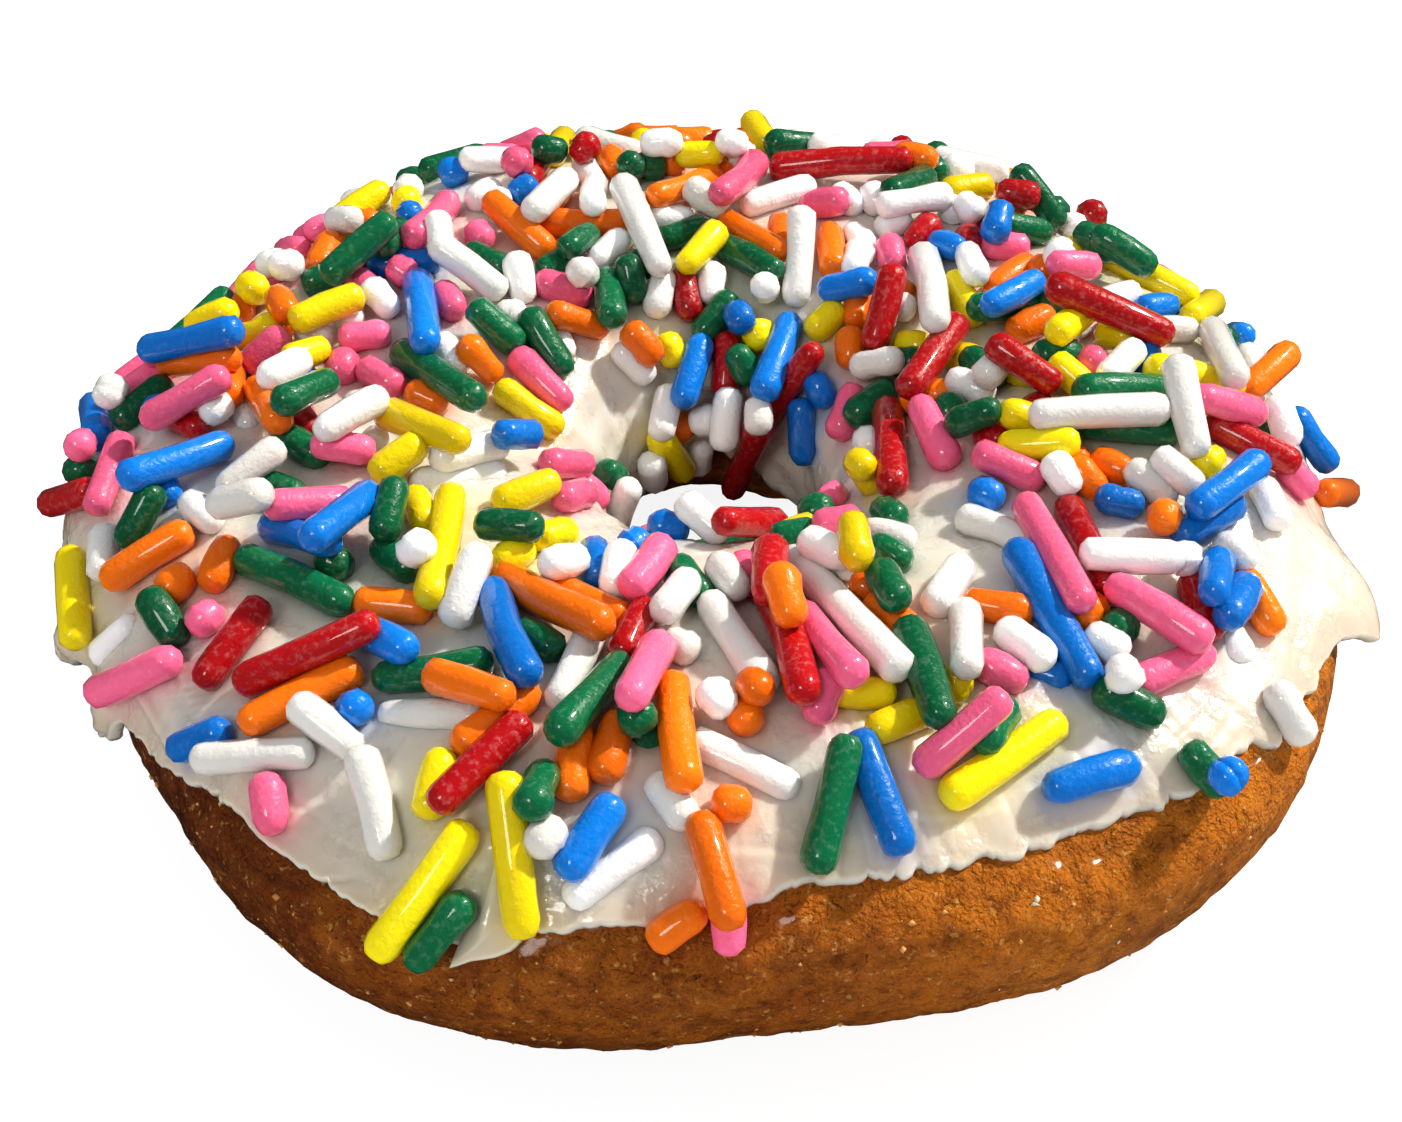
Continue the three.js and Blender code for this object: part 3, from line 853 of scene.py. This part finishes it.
def likely(ring, section):
    """How likely a thrown rod lands at these angles, and how far it may stand above the icing."""
    if abs(ring) < NEAR_SIDE:
        if section <= NEAR_WALL_FROM or abs(ring) >= NEAR_WALL_SIDE:
            return 0.0, 0.0
        return WALL_LIKELY, LOWEST_RISE if section < NEAR_WALL_DEEP else HIGHEST_RISE
    seen_from = HORIZON_SHARE * horizon(ring)
    if section < seen_from + PAST_HORIZON:
        return 1.0, HIGHEST_RISE if section < seen_from - WELL_HIDDEN else LOWEST_RISE
    if max(seen_from + FILLING_PAST_HORIZON, FILLING_FROM) < section < FILLING_TO:
        return FILLING, FILLING_RISE
    return 0.0, 0.0


def thrown_place():
    """Random angles round the ring and the section, kept as often as they are likely."""
    while True:
        ring = draw.uniform(-180.0, 180.0)
        section = draw.uniform(THROWN_FROM, THROWN_TO)
        wide = 0.25 + 0.75 * (1.0 + math.cos(math.radians(section))) / 2.0
        share, highest = likely(ring, section)
        if draw.random() < wide * share:
            return math.radians(ring), math.radians(section), highest


def thrown_rod():
    """Ends of a rod that lies flat on the icing at a random place and turn, and the way in."""
    ring, section, highest = thrown_place()
    point, normal = [part[0] for part in place_on_skin(np.array([ring]), section, THROWN_LEVEL)]
    side = np.array([math.cos(ring), math.sin(ring), 0.0])
    over = np.cross(normal, side)
    turn = draw.uniform(0.0, math.pi)
    axis = math.cos(turn) * side + math.sin(turn) * over
    half = draw.choice(HALF_LENGTHS, p=HALF_LENGTH_ODDS)
    half = half * draw.uniform(0.8, 1.2)
    return point - half * axis, point + half * axis, normal, highest


colours = list(COLOUR_SHARES)
colour_odds = np.array(list(COLOUR_SHARES.values()))
colour_odds = colour_odds / colour_odds.sum()
for _ in range(THROWN):
    radius = ROD_RADIUS * draw.uniform(0.94, 1.07)
    best = None
    for _ in range(TRIES):
        start, end, normal, highest = thrown_rod()
        inwards = lambda balls: np.broadcast_to(normal, balls.shape)
        found = rest(start, end, radius, inwards, THROWN_SINK, THROWN_CLOSENESS)
        excess = found[2] - highest
        if best is None or excess < best[2]:
            best = (found[0], found[1], excess)
    if best[2] < 0.0:
        keep_rod(colours[draw.choice(len(colours), p=colour_odds)], best[0], best[1], radius)
print("sprinkles in all:", len(placed_rods), "balls:", ball_count)


def gap_below(which):
    """Smallest distance from a rod to the icing and to all other rods, mm."""
    _, start, end, radius = placed_rods[which]
    balls, _ = chain(start, end)
    to_icing = np.abs(height_above(balls)[0]).min() - radius
    others = placed_balls[:ball_count][ball_owner[:ball_count] != which]
    apart = np.linalg.norm(balls[:, None, :] - others[None, :, :3], axis=-1)
    return min(to_icing, float((apart - radius - others[None, :, 3]).min()))


gaps = np.array([gap_below(which) for which in range(len(placed_rods))])
print("widest gap below a sprinkle, mm:", round(float(gaps.max()), 2))

# %% [markdown]
# ## The shape of one sprinkle
#
# A sprinkle is cut from a rope of soft sugar paste and tumbled, so it has soft, slightly flat ends,
# a small bend, and here and there a waist or a swelling. One rod is seven rings of ten points and
# two poles, which is enough for a round look at its size, and all rods of one colour are one mesh.

# %% Sprinkle meshes
ROD_SIDES = 10
# Rings of a rod: (share along the straight part, depth beyond it in radii, radius in radii).
ROD_RINGS = [
    (0.0, -0.82, 0.58), (0.0, -0.48, 0.90), (0.0, 0.0, 1.0), (0.5, 0.0, 1.0),
    (1.0, 0.0, 1.0), (1.0, 0.48, 0.90), (1.0, 0.82, 0.58),
]
POLE_DEPTH = 0.95


def rod_faces():
    """Corners and sizes of one rod's faces, with the rings' points first and the poles last."""
    rings = len(ROD_RINGS)
    here = np.arange(rings * ROD_SIDES).reshape(rings, ROD_SIDES)
    turned = np.roll(here, -1, axis=1)
    sides = np.stack([here[:-1], turned[:-1], turned[1:], here[1:]], axis=-1).reshape(-1)
    pole = rings * ROD_SIDES
    first = np.stack([here[0], np.full(ROD_SIDES, pole), turned[0]], axis=-1).reshape(-1)
    last = np.stack([here[-1], turned[-1], np.full(ROD_SIDES, pole + 1)], axis=-1).reshape(-1)
    sizes = np.concatenate([np.full((rings - 1) * ROD_SIDES, 4), np.full(2 * ROD_SIDES, 3)])
    return np.concatenate([sides, first, last]), sizes


def rod_points(start, end, radius):
    """
    Points of many rods at once. A ring's middle is start + share * (end - start) + depth * radius
    along the axis, plus a bend of 4 share (1 - share) to the side; its points stand off by the
    ring's radius, times a swelling of its own and a little unevenness for each point.
    """
    count = len(start)
    axis = end - start
    length = np.linalg.norm(axis, axis=1, keepdims=True)
    axis = axis / np.maximum(length, 1e-6)
    side = np.cross(axis, draw.normal(size=(count, 3)))
    side = side / np.linalg.norm(side, axis=1, keepdims=True)
    over = np.cross(axis, side)
    share = np.array([ring[0] for ring in ROD_RINGS])
    depth = np.array([ring[1] for ring in ROD_RINGS])
    width = np.array([ring[2] for ring in ROD_RINGS])
    taper = 1.0 + draw.normal(0.0, 0.035, (count, 1)) * (2.0 * share - 1.0)
    swelling = taper * (1.0 + draw.normal(0.0, 0.03, (count, len(share))))
    lumpy = draw.random(count) < 0.14
    swelling[lumpy, 3] -= draw.uniform(0.03, 0.1, lumpy.sum())
    bend = draw.normal(0.0, 0.016, count) * length[:, 0]
    middle = start[:, None, :] + share[None, :, None] * (end - start)[:, None, :]
    middle = middle + (depth[None, :] * radius[:, None])[..., None] * axis[:, None, :]
    arc = (4.0 * share * (1.0 - share))[None, :, None] * bend[:, None, None]
    middle = middle + arc * side[:, None, :]
    turn = np.linspace(0.0, 2.0 * math.pi, ROD_SIDES, endpoint=False)
    around = np.cos(turn)[None, :, None] * side[:, None, :]
    around = around + np.sin(turn)[None, :, None] * over[:, None, :]
    out = radius[:, None] * width[None, :] * swelling
    uneven = 1.0 + draw.normal(0.0, 0.018, (count, len(share), ROD_SIDES))
    rings = middle[:, :, None, :] + (out[..., None] * uneven)[..., None] * around[:, None, :, :]
    poles = np.stack([start - POLE_DEPTH * radius[:, None] * axis,
                      end + POLE_DEPTH * radius[:, None] * axis], axis=1)
    return np.concatenate([rings.reshape(count, -1, 3), poles], axis=1)


sprinkle_pieces = {}
one_corners, one_sizes = rod_faces()
for colour in COLOUR_SHARES:
    rods = [rod for rod in placed_rods if rod[0] == colour]
    starts = np.array([rod[1] for rod in rods])
    ends = np.array([rod[2] for rod in rods])
    radii = np.array([rod[3] for rod in rods])
    points = rod_points(starts, ends, radii)
    points_each = points.shape[1]
    corners = (one_corners[None, :] + np.arange(len(rods))[:, None] * points_each).reshape(-1)
    sizes = np.tile(one_sizes, len(rods))
    piece = mesh_piece("sprinkles_" + colour, points.reshape(-1, 3), corners, sizes)
    paint_values(piece, "tone", np.repeat(draw.uniform(-1.0, 1.0, len(rods)), points_each))
    sprinkle_pieces[colour] = piece

# %% [markdown]
# ## Painted bounce light on the icing, and where it is thin
#
# Beside each coloured sprinkle the icing takes a soft halo of its colour, which is painted light
# bounced off the sprinkle. Close to the torn edge the coat is thin and the brown crust shows
# through, but the very rim is left white as a painted highlight. Both are kept on the icing's own
# points, one colour and two amounts.

# %% Painted bounce light and thin places
SPRINKLE_COLOURS = {
    "red": (0.43, 0.004, 0.008),
    "orange": (0.98, 0.195, 0.002),
    "yellow": (0.97, 0.72, 0.002),
    "green": (0.002, 0.14, 0.055),
    "blue": (0.002, 0.195, 0.66),
    "pink": (0.97, 0.15, 0.30),
    "white": (0.94, 0.92, 0.87),
}
PAINTED_BOUNCE_REACH = 0.55  # mm

outer_points = outer_side.reshape(-1, 3)
painted_bounce_amount = np.zeros(len(outer_points))
painted_bounce_colour = np.zeros((len(outer_points), 3))
# Painted bounce light: a soft halo of each coloured sprinkle's colour on the icing beside it.
for colour, start, end, radius in placed_rods:
    if colour == "white":
        continue
    middle = (start + end) / 2.0
    reach = np.linalg.norm(end - start) / 2.0 + radius + 2.5
    near = np.flatnonzero(np.abs(outer_points - middle).max(axis=1) < reach)
    axis = end - start
    along = (outer_points[near] - start) @ axis / max(axis @ axis, 1e-6)
    foot = start + np.clip(along, 0.0, 1.0)[:, None] * axis
    away = np.maximum(np.linalg.norm(outer_points[near] - foot, axis=1) - radius, 0.0)
    amount = np.exp(-away / PAINTED_BOUNCE_REACH)
    painted_bounce_amount[near] += amount
    painted_bounce_colour[near] += amount[:, None] * np.array(SPRINKLE_COLOURS[colour])
painted_bounce_colour /= np.maximum(painted_bounce_amount, 1e-6)[:, None]
painted_bounce_amount = 1.0 - np.exp(-painted_bounce_amount)
# Tan where the coat is thin and the crust shows through; the tan stops short of the very rim, which
# stays white as a painted highlight.
thin_and_rim_highlight = (1.0 - smoothstep(0.0, 0.16, icing_share)) * smoothstep(0.003, 0.014, icing_share)

outer_mask = np.zeros(icing_grid.shape[:2], dtype=bool)
outer_mask[:, :ICING_OUTER_STEPS] = True
all_colours = np.ones((icing_grid.shape[0] * icing_grid.shape[1], 3))
all_painted_bounce = np.zeros(outer_mask.size)
all_thin_and_rim_highlight = np.ones(outer_mask.size)
all_colours[outer_mask.ravel()] = painted_bounce_colour
all_painted_bounce[outer_mask.ravel()] = painted_bounce_amount
all_thin_and_rim_highlight[outer_mask.ravel()] = thin_and_rim_highlight.ravel()
paint_colours(icing, "painted_bounce_colour", all_colours)
paint_values(icing, "painted_bounce", all_painted_bounce)
paint_values(icing, "thin_and_rim_highlight", all_thin_and_rim_highlight)
# Mean amount of painted bounce light on the icing.
print("mean dye on the icing:", round(float(painted_bounce_amount.mean()), 3))

# %% [markdown]
# ## Crumbs and sugar flakes
#
# Golden crumbs cling to the crust, most of them low down, and a few white flakes of dry sugar lie
# below the icing. Each is a small six-cornered lump, and all lumps of a kind are one mesh.

# %% Crumbs and flakes
LUMP_CORNERS = np.array(
    [(1, 0, 0), (-1, 0, 0), (0, 1, 0), (0, -1, 0), (0, 0, 1), (0, 0, -1)], dtype=float
)
LUMP_FACES = np.array(
    [(0, 2, 4), (2, 1, 4), (1, 3, 4), (3, 0, 4), (2, 0, 5), (1, 2, 5), (3, 1, 5), (0, 3, 5)]
)


def lumps_piece(name, count, section_range, sizes, flatness):
    """Lumps on the bare crust: corners of an octahedron, each pulled in or out and flattened."""
    ring = draw.uniform(-math.pi, math.pi, count)
    section = np.radians(draw.uniform(*section_range, count))
    base = place_on_skin(ring, section)[0]
    spots, normals = place_on_skin(ring, section, crust_relief(base))
    size = np.exp(draw.uniform(math.log(sizes[0]), math.log(sizes[1]), (count, 1, 1)))
    corners = LUMP_CORNERS[None] * draw.uniform(0.55, 1.3, (count, 6, 1)) * size
    corners = corners + draw.normal(0.0, 0.15, corners.shape) * size
    depth = np.sum(corners * normals[:, None, :], axis=-1, keepdims=True)
    corners = corners - depth * normals[:, None, :] * (1.0 - flatness) + spots[:, None, :]
    corners = corners + normals[:, None, :] * 0.1 * size
    corners[..., 2] = np.maximum(corners[..., 2], 0.0)
    faces = LUMP_FACES[None] + (np.arange(count) * 6)[:, None, None]
    return mesh_piece(name, corners.reshape(-1, 3), faces.reshape(-1), np.full(count * 8, 3))


crumbs = lumps_piece("crumbs", 420, (-75, 26), (0.07, 0.3), 0.6)
flakes = lumps_piece("sugar_flakes", 34, (-45, 24), (0.08, 0.32), 0.3)

# %% [markdown]
# ## Materials
#
# One shader group, mottle, gives patches of any size, as a mask for colours and as a height for
# bumps. Crust, icing and sprinkles all use it with their own sizes. The crust is oily in places,
# the icing lets light in, and the sprinkles have a waxy gloss.

# %% Shader helpers


def node(tree, kind, **settings):
    """A new shader node with its settings made."""
    made = tree.nodes.new(kind)
    for name, value in settings.items():
        setattr(made, name, value)
    return made


def make_mottle_group():
    """Patches: noise at a scale, stretched so that low becomes 0 and high becomes 1."""
    group = bpy.data.node_groups.new("mottle", "ShaderNodeTree")
    group.interface.new_socket("Vector", in_out="INPUT", socket_type="NodeSocketVector")
    for name in ("Scale", "Detail", "Low", "High"):
        group.interface.new_socket(name, in_out="INPUT", socket_type="NodeSocketFloat")
    for name in ("Mask", "Height"):
        group.interface.new_socket(name, in_out="OUTPUT", socket_type="NodeSocketFloat")
    entry = node(group, "NodeGroupInput")
    leave = node(group, "NodeGroupOutput")
    noise = node(group, "ShaderNodeTexNoise")
    noise.inputs["Roughness"].default_value = 0.55
    spread = node(group, "ShaderNodeMapRange")
    link = group.links.new
    link(entry.outputs["Vector"], noise.inputs["Vector"])
    link(entry.outputs["Scale"], noise.inputs["Scale"])
    link(entry.outputs["Detail"], noise.inputs["Detail"])
    link(noise.outputs["Fac"], spread.inputs["Value"])
    link(entry.outputs["Low"], spread.inputs["From Min"])
    link(entry.outputs["High"], spread.inputs["From Max"])
    link(spread.outputs["Result"], leave.inputs["Mask"])
    link(noise.outputs["Fac"], leave.inputs["Height"])
    return group


mottle_group = make_mottle_group()


class Finish:
    """A material with a plain shader, and short ways to add patches, mixes and bumps to it."""

    def __init__(self, name):
        self.material = bpy.data.materials.new(name)
        self.material.use_nodes = True
        self.tree = self.material.node_tree
        self.shader = self.tree.nodes["Principled BSDF"]
        self.place = node(self.tree, "ShaderNodeTexCoord").outputs["Object"]
        self.normal = None

    def link(self, output, socket):
        self.tree.links.new(output, socket)

    def set(self, **values):
        """Sets the shader's own sockets; an underscore in a name stands for a space."""
        for name, value in values.items():
            self.shader.inputs[name.replace("_", " ")].default_value = value

    def mottle(self, scale, low, high, detail=3.0, squeeze=None):
        """Patches about 1 / scale metres across; squeeze scales the place first."""
        made = node(self.tree, "ShaderNodeGroup", node_tree=mottle_group)
        place = self.place
        if squeeze is not None:
            mapping = node(self.tree, "ShaderNodeMapping")
            mapping.inputs["Scale"].default_value = squeeze
            self.link(place, mapping.inputs["Vector"])
            place = mapping.outputs["Vector"]
        self.link(place, made.inputs["Vector"])
        for name, value in (("Scale", scale), ("Detail", detail), ("Low", low), ("High", high)):
            made.inputs[name].default_value = value
        return made.outputs["Mask"], made.outputs["Height"]

    def attribute(self, name, output="Fac"):
        return node(self.tree, "ShaderNodeAttribute", attribute_name=name).outputs[output]

    def remap(self, value, low, high, to_low=0.0, to_high=1.0):
        made = node(self.tree, "ShaderNodeMapRange")
        self.link(value, made.inputs["Value"])
        for name, number in zip(("From Min", "From Max", "To Min", "To Max"),
                                (low, high, to_low, to_high)):
            made.inputs[name].default_value = number
        return made.outputs["Result"]

    def maths(self, operation, first, second):
        made = node(self.tree, "ShaderNodeMath", operation=operation)
        for socket, value in zip(made.inputs, (first, second)):
            if isinstance(value, (int, float)):
                socket.default_value = value
            else:
                self.link(value, socket)
        return made.outputs["Value"]

    def mix(self, first, second, share, kind="MIX"):
        """A colour between two, each a colour or an output, by a share."""
        made = node(self.tree, "ShaderNodeMix", data_type="RGBA", blend_type=kind)
        factor, one, two = made.inputs[0], made.inputs[6], made.inputs[7]
        for socket, value in ((one, first), (two, second)):
            if isinstance(value, tuple):
                socket.default_value = (*value, 1.0)
            else:
                self.link(value, socket)
        if isinstance(share, (int, float)):
            factor.default_value = share
        else:
            self.link(share, factor)
        return made.outputs[2]

    def colour(self, output):
        self.link(output, self.shader.inputs["Base Color"])

    def roughness(self, output):
        self.link(output, self.shader.inputs["Roughness"])

    def bump(self, height, depth):
        """Adds a bump, depth in metres, on top of the ones before it."""
        made = node(self.tree, "ShaderNodeBump")
        made.inputs["Strength"].default_value = 1.0
        made.inputs["Distance"].default_value = depth
        self.link(height, made.inputs["Height"])
        if self.normal is not None:
            self.link(self.normal, made.inputs["Normal"])
        self.normal = made.outputs["Normal"]
        self.link(self.normal, self.shader.inputs["Normal"])


# %% [markdown]
# ### Crust
#
# Fried crust is never one brown. It runs from dark red-brown to golden, with honey-coloured
# patches and tan flecks where sugar caught. The relief that is kept on the mesh gives painted shade
# in the creases and painted light on the grain's tops, the left side gets painted shade and the
# right side painted light, and an oily gloss comes and goes in patches.

# %% Crust material
CRUST_DARK = (0.095, 0.013, 0.001)
CRUST_MIDDLE = (0.34, 0.070, 0.002)
CRUST_GOLDEN = (0.64, 0.215, 0.012)
CRUST_FLECK = (0.70, 0.42, 0.13)

crust = Finish("crust")
broad, _ = crust.mottle(110.0, 0.35, 0.65)
patches, _ = crust.mottle(420.0, 0.42, 0.68, 4.0)
streaks, _ = crust.mottle(240.0, 0.45, 0.7, 4.0, squeeze=(1.0, 1.0, 3.2))
flecks, _ = crust.mottle(1900.0, 0.62, 0.70, 2.0)
_, knob_height = crust.mottle(650.0, 0.0, 1.0, 3.0)
pores, pore_height = crust.mottle(900.0, 0.5, 0.68, 5.0)
grain_mask, grain_height = crust.mottle(3400.0, 0.35, 0.65, 3.0)
oily, _ = crust.mottle(700.0, 0.45, 0.62, 3.0)
# Painted shade in the creases and painted light on the grain's tops, from the relief height kept on the
# mesh.
relief = crust.remap(crust.attribute("relief"), -0.17, 0.2)
tint = crust.mix(CRUST_DARK, CRUST_MIDDLE, relief)
tint = crust.mix(tint, CRUST_GOLDEN, crust.maths("MULTIPLY", patches, 0.72))
tint = crust.mix(tint, CRUST_GOLDEN, crust.maths("MULTIPLY", grain_mask, 0.4))
tint = crust.mix(tint, CRUST_DARK, crust.maths("MULTIPLY", broad, 0.25))
tint = crust.mix(tint, CRUST_GOLDEN, crust.maths("MULTIPLY", streaks, 0.3))
# Painted shade on the left side and painted light on the right side, from the side mask kept on the
# mesh.
painted_side_shade = crust.attribute("painted_side_shade")
painted_side_light = crust.maths("SUBTRACT", 1.0, painted_side_shade)
tint = crust.mix(tint, CRUST_GOLDEN, crust.maths("MULTIPLY", painted_side_light, 0.6))
tint = crust.mix(tint, CRUST_DARK, crust.maths("MULTIPLY", painted_side_shade, 0.62))
tint = crust.mix(tint, CRUST_DARK, crust.maths("MULTIPLY", pores, 0.5))
tint = crust.mix(tint, CRUST_FLECK, crust.maths("MULTIPLY", flecks, 0.4))
crust.colour(tint)
crust.roughness(crust.remap(oily, 0.0, 1.0, 0.6, 0.32))
crust.bump(knob_height, 0.0006)
crust.bump(pore_height, 0.00045)
crust.bump(grain_height, 0.0005)
crust.set(Specular_IOR_Level=0.15, Coat_Weight=0.6, Coat_Roughness=0.12)
dough.data.materials.append(crust.material)

# %% [markdown]
# ### Icing
#
# Icing is mostly fine sugar in a little water, so light goes in and comes out again a few
# millimetres away: subsurface scattering gives that soft, milky look. Its own colour is a warm
# white. The painted bounce light from the sprinkles, and the thin places with their painted rim
# highlight, are kept on the mesh and mixed in.

# %% Icing material
ICING_WHITE = (0.70, 0.672, 0.605)
ICING_THIN = (0.62, 0.42, 0.27)

coat = Finish("icing")
cloud, _ = coat.mottle(260.0, 0.3, 0.7)
moist, _ = coat.mottle(420.0, 0.5, 0.66, 4.0)
_, silk_height = coat.mottle(600.0, 0.0, 1.0, 3.0)
_, sugar_height = coat.mottle(1900.0, 0.0, 1.0, 1.0)
tint = coat.mix(ICING_WHITE, (0.66, 0.61, 0.525), coat.maths("MULTIPLY", cloud, 0.6))
# Tan of the thin coat, and the very rim left white as a painted highlight.
tint = coat.mix(tint, ICING_THIN, coat.maths("MULTIPLY", coat.attribute("thin_and_rim_highlight"), 0.4))
# Painted bounce light: the icing takes the colour of the sprinkles beside it.
painted_bounce = coat.maths("MULTIPLY", coat.attribute("painted_bounce"), 0.5)
tint = coat.mix(tint, coat.attribute("painted_bounce_colour", "Color"), painted_bounce)
coat.colour(tint)
coat.roughness(coat.remap(moist, 0.0, 1.0, 0.34, 0.18))
coat.bump(silk_height, 0.00005)
coat.bump(coat.maths("MULTIPLY", sugar_height, moist), 0.00014)
coat.set(
    Subsurface_Weight=0.85,
    Subsurface_Radius=(1.0, 0.72, 0.5),
    Subsurface_Scale=0.0016,
    Specular_IOR_Level=0.5,
    Coat_Weight=0.9,
    Coat_Roughness=0.06,
)
icing.data.materials.append(coat.material)

# %% [markdown]
# ### Sprinkles
#
# Each colour is one material. Its tone varies from rod to rod, and a fine pale mottling shows
# where the wax has worn, most of all on the red ones. A thin clear coat gives the small sharp
# highlights, and a low bump breaks them up.

# %% Sprinkle materials
# How pale the mottling is, by colour.
MOTTLING = {
    "red": 0.15, "orange": 0.04, "yellow": 0.03, "green": 0.11, "blue": 0.05, "pink": 0.10,
    "white": 0.0,
}


def sprinkle_finish(colour):
    """Waxy sugar in one colour."""
    finish = Finish("sprinkle_" + colour)
    base = SPRINKLE_COLOURS[colour]
    tone = finish.remap(finish.attribute("tone"), -1.0, 1.0)
    darker = tuple(0.72 * part for part in base)
    lighter = tuple(min(1.12 * part + 0.001, 0.97) for part in base)
    worn, _ = finish.mottle(2700.0, 0.52, 0.68, 3.0)
    _, skin_height = finish.mottle(1100.0, 0.0, 1.0, 2.0)
    _, pit_height = finish.mottle(3800.0, 0.0, 1.0, 2.0)
    tint = finish.mix(darker, lighter, tone)
    pale = tuple(blend(part, 1.0, 0.45) for part in base)
    tint = finish.mix(tint, pale, finish.maths("MULTIPLY", worn, MOTTLING[colour]))
    finish.colour(tint)
    finish.roughness(finish.remap(worn, 0.0, 1.0, 0.34, 0.44))
    finish.bump(skin_height, 0.00008)
    finish.bump(pit_height, 0.00006)
    finish.set(
        Subsurface_Weight=0.25 if colour == "white" else 0.1,
        Subsurface_Radius=(1.0, 0.8, 0.7),
        Subsurface_Scale=0.0008,
        Specular_IOR_Level=0.2,
        Coat_Weight=0.8,
        Coat_Roughness=0.05,
    )
    return finish


for colour, piece in sprinkle_pieces.items():
    piece.data.materials.append(sprinkle_finish(colour).material)

# %% [markdown]
# ### Crumbs and flakes
#
# Crumbs are bits of the same crust, more golden because they are thin. Flakes are dry sugar.

# %% Crumb and flake materials
crumb = Finish("crumb")
speck, speck_height = crumb.mottle(2200.0, 0.35, 0.65)
crumb.colour(crumb.mix((0.50, 0.20, 0.04), (0.70, 0.40, 0.13), speck))
crumb.bump(speck_height, 0.0001)
crumb.set(Roughness=0.45)
crumbs.data.materials.append(crumb.material)

flake = Finish("sugar_flake")
speck, speck_height = flake.mottle(2600.0, 0.35, 0.65)
flake.colour(flake.mix((0.58, 0.46, 0.34), (0.76, 0.68, 0.58), speck))
flake.bump(speck_height, 0.0001)
flake.set(Roughness=0.35)
flakes.data.materials.append(flake.material)

# %% [markdown]
# ## What the pieces stand for
#
# The two CAD solids stay for collision and are hidden. Everything rides on the one body.

# %% Ties to the frame
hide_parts("dough")
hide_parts("icing")
for piece in [dough, icing, crumbs, flakes, *sprinkle_pieces.values()]:
    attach(piece, "root")

# %% [markdown]
# ## Floor and light
#
# The floor is plain and nearly white. The key light is small, warm and high on the right, a
# little behind the ring: it lights the right flank and the left wall of the hole and leaves the
# near left in a soft grey shade. A wide, weak fill comes from the front, and a pale surround fills
# the rest. Gloss would mirror that surround as a grey veil over every colour, so glossy rays meet
# a darker surround and a dark floor. The floor glows a little for the eye, and so stays pale.

# %% Floor and lights
FLOOR_SIZE = 30.0
floor_mesh = bpy.data.meshes.new("floor")
half = FLOOR_SIZE / 2.0
floor_mesh.from_pydata(
    [(-half, -half, 0), (half, -half, 0), (half, half, 0), (-half, half, 0)], [], [(0, 1, 2, 3)]
)
floor = bpy.data.objects.new("floor", floor_mesh)
bpy.context.scene.collection.objects.link(floor)
floor_finish = Finish("floor")
floor_finish.set(Roughness=0.8, Specular_IOR_Level=0.1)
floor_rays = node(floor_finish.tree, "ShaderNodeLightPath")
floor_finish.colour(
    floor_finish.mix((0.85, 0.85, 0.85), (0.03, 0.03, 0.03), floor_rays.outputs["Is Glossy Ray"])
)
floor_tree = floor_finish.tree
bright = node(floor_tree, "ShaderNodeEmission")
bright.inputs["Strength"].default_value = 1.0
lifted = node(floor_tree, "ShaderNodeMixShader")
seen = floor_finish.maths("MULTIPLY", floor_rays.outputs["Is Camera Ray"], 0.75)
floor_tree.links.new(seen, lifted.inputs[0])
floor_tree.links.new(floor_finish.shader.outputs["BSDF"], lifted.inputs[1])
floor_tree.links.new(bright.outputs["Emission"], lifted.inputs[2])
floor_tree.links.new(lifted.outputs["Shader"], floor_tree.nodes["Material Output"].inputs["Surface"])
floor_mesh.materials.append(floor_finish.material)

KEY_TOWARDS = np.array([0.68, 0.40, 0.72])
FILL_TOWARDS = np.array([-0.35, -0.62, 0.70])


def sun(name, towards, energy, wide, colour):
    """A sun lamp that shines from a direction, its disc as wide as the angle given in degrees."""
    data = bpy.data.lights.new(name, "SUN")
    data.energy = energy
    data.angle = math.radians(wide)
    data.color = colour
    lamp = bpy.data.objects.new(name, data)
    tilt = math.atan2(math.hypot(towards[0], towards[1]), towards[2])
    lamp.rotation_euler = (0.0, tilt, math.atan2(towards[1], towards[0]))
    bpy.context.scene.collection.objects.link(lamp)


sun("key", KEY_TOWARDS, 4.1, 3.0, (1.0, 0.94, 0.84))
sun("fill", FILL_TOWARDS, 0.55, 16.0, (1.0, 0.97, 0.93))

world = bpy.data.worlds.new("surround")
world.use_nodes = True
sky_tree = world.node_tree
surround = sky_tree.nodes["Background"]
surround.inputs["Color"].default_value = (0.92, 0.96, 1.0, 1.0)
surround.inputs["Strength"].default_value = 0.52
mirrored = node(sky_tree, "ShaderNodeBackground")
mirrored.inputs["Strength"].default_value = 0.08
chosen = node(sky_tree, "ShaderNodeMixShader")
sky_tree.links.new(node(sky_tree, "ShaderNodeLightPath").outputs["Is Glossy Ray"], chosen.inputs[0])
sky_tree.links.new(surround.outputs["Background"], chosen.inputs[1])
sky_tree.links.new(mirrored.outputs["Background"], chosen.inputs[2])
sky_tree.links.new(chosen.outputs["Shader"], sky_tree.nodes["World Output"].inputs["Surface"])
bpy.context.scene.world = world
bpy.context.scene.view_settings.view_transform = "Standard"
bpy.context.scene.view_settings.look = "Medium High Contrast"
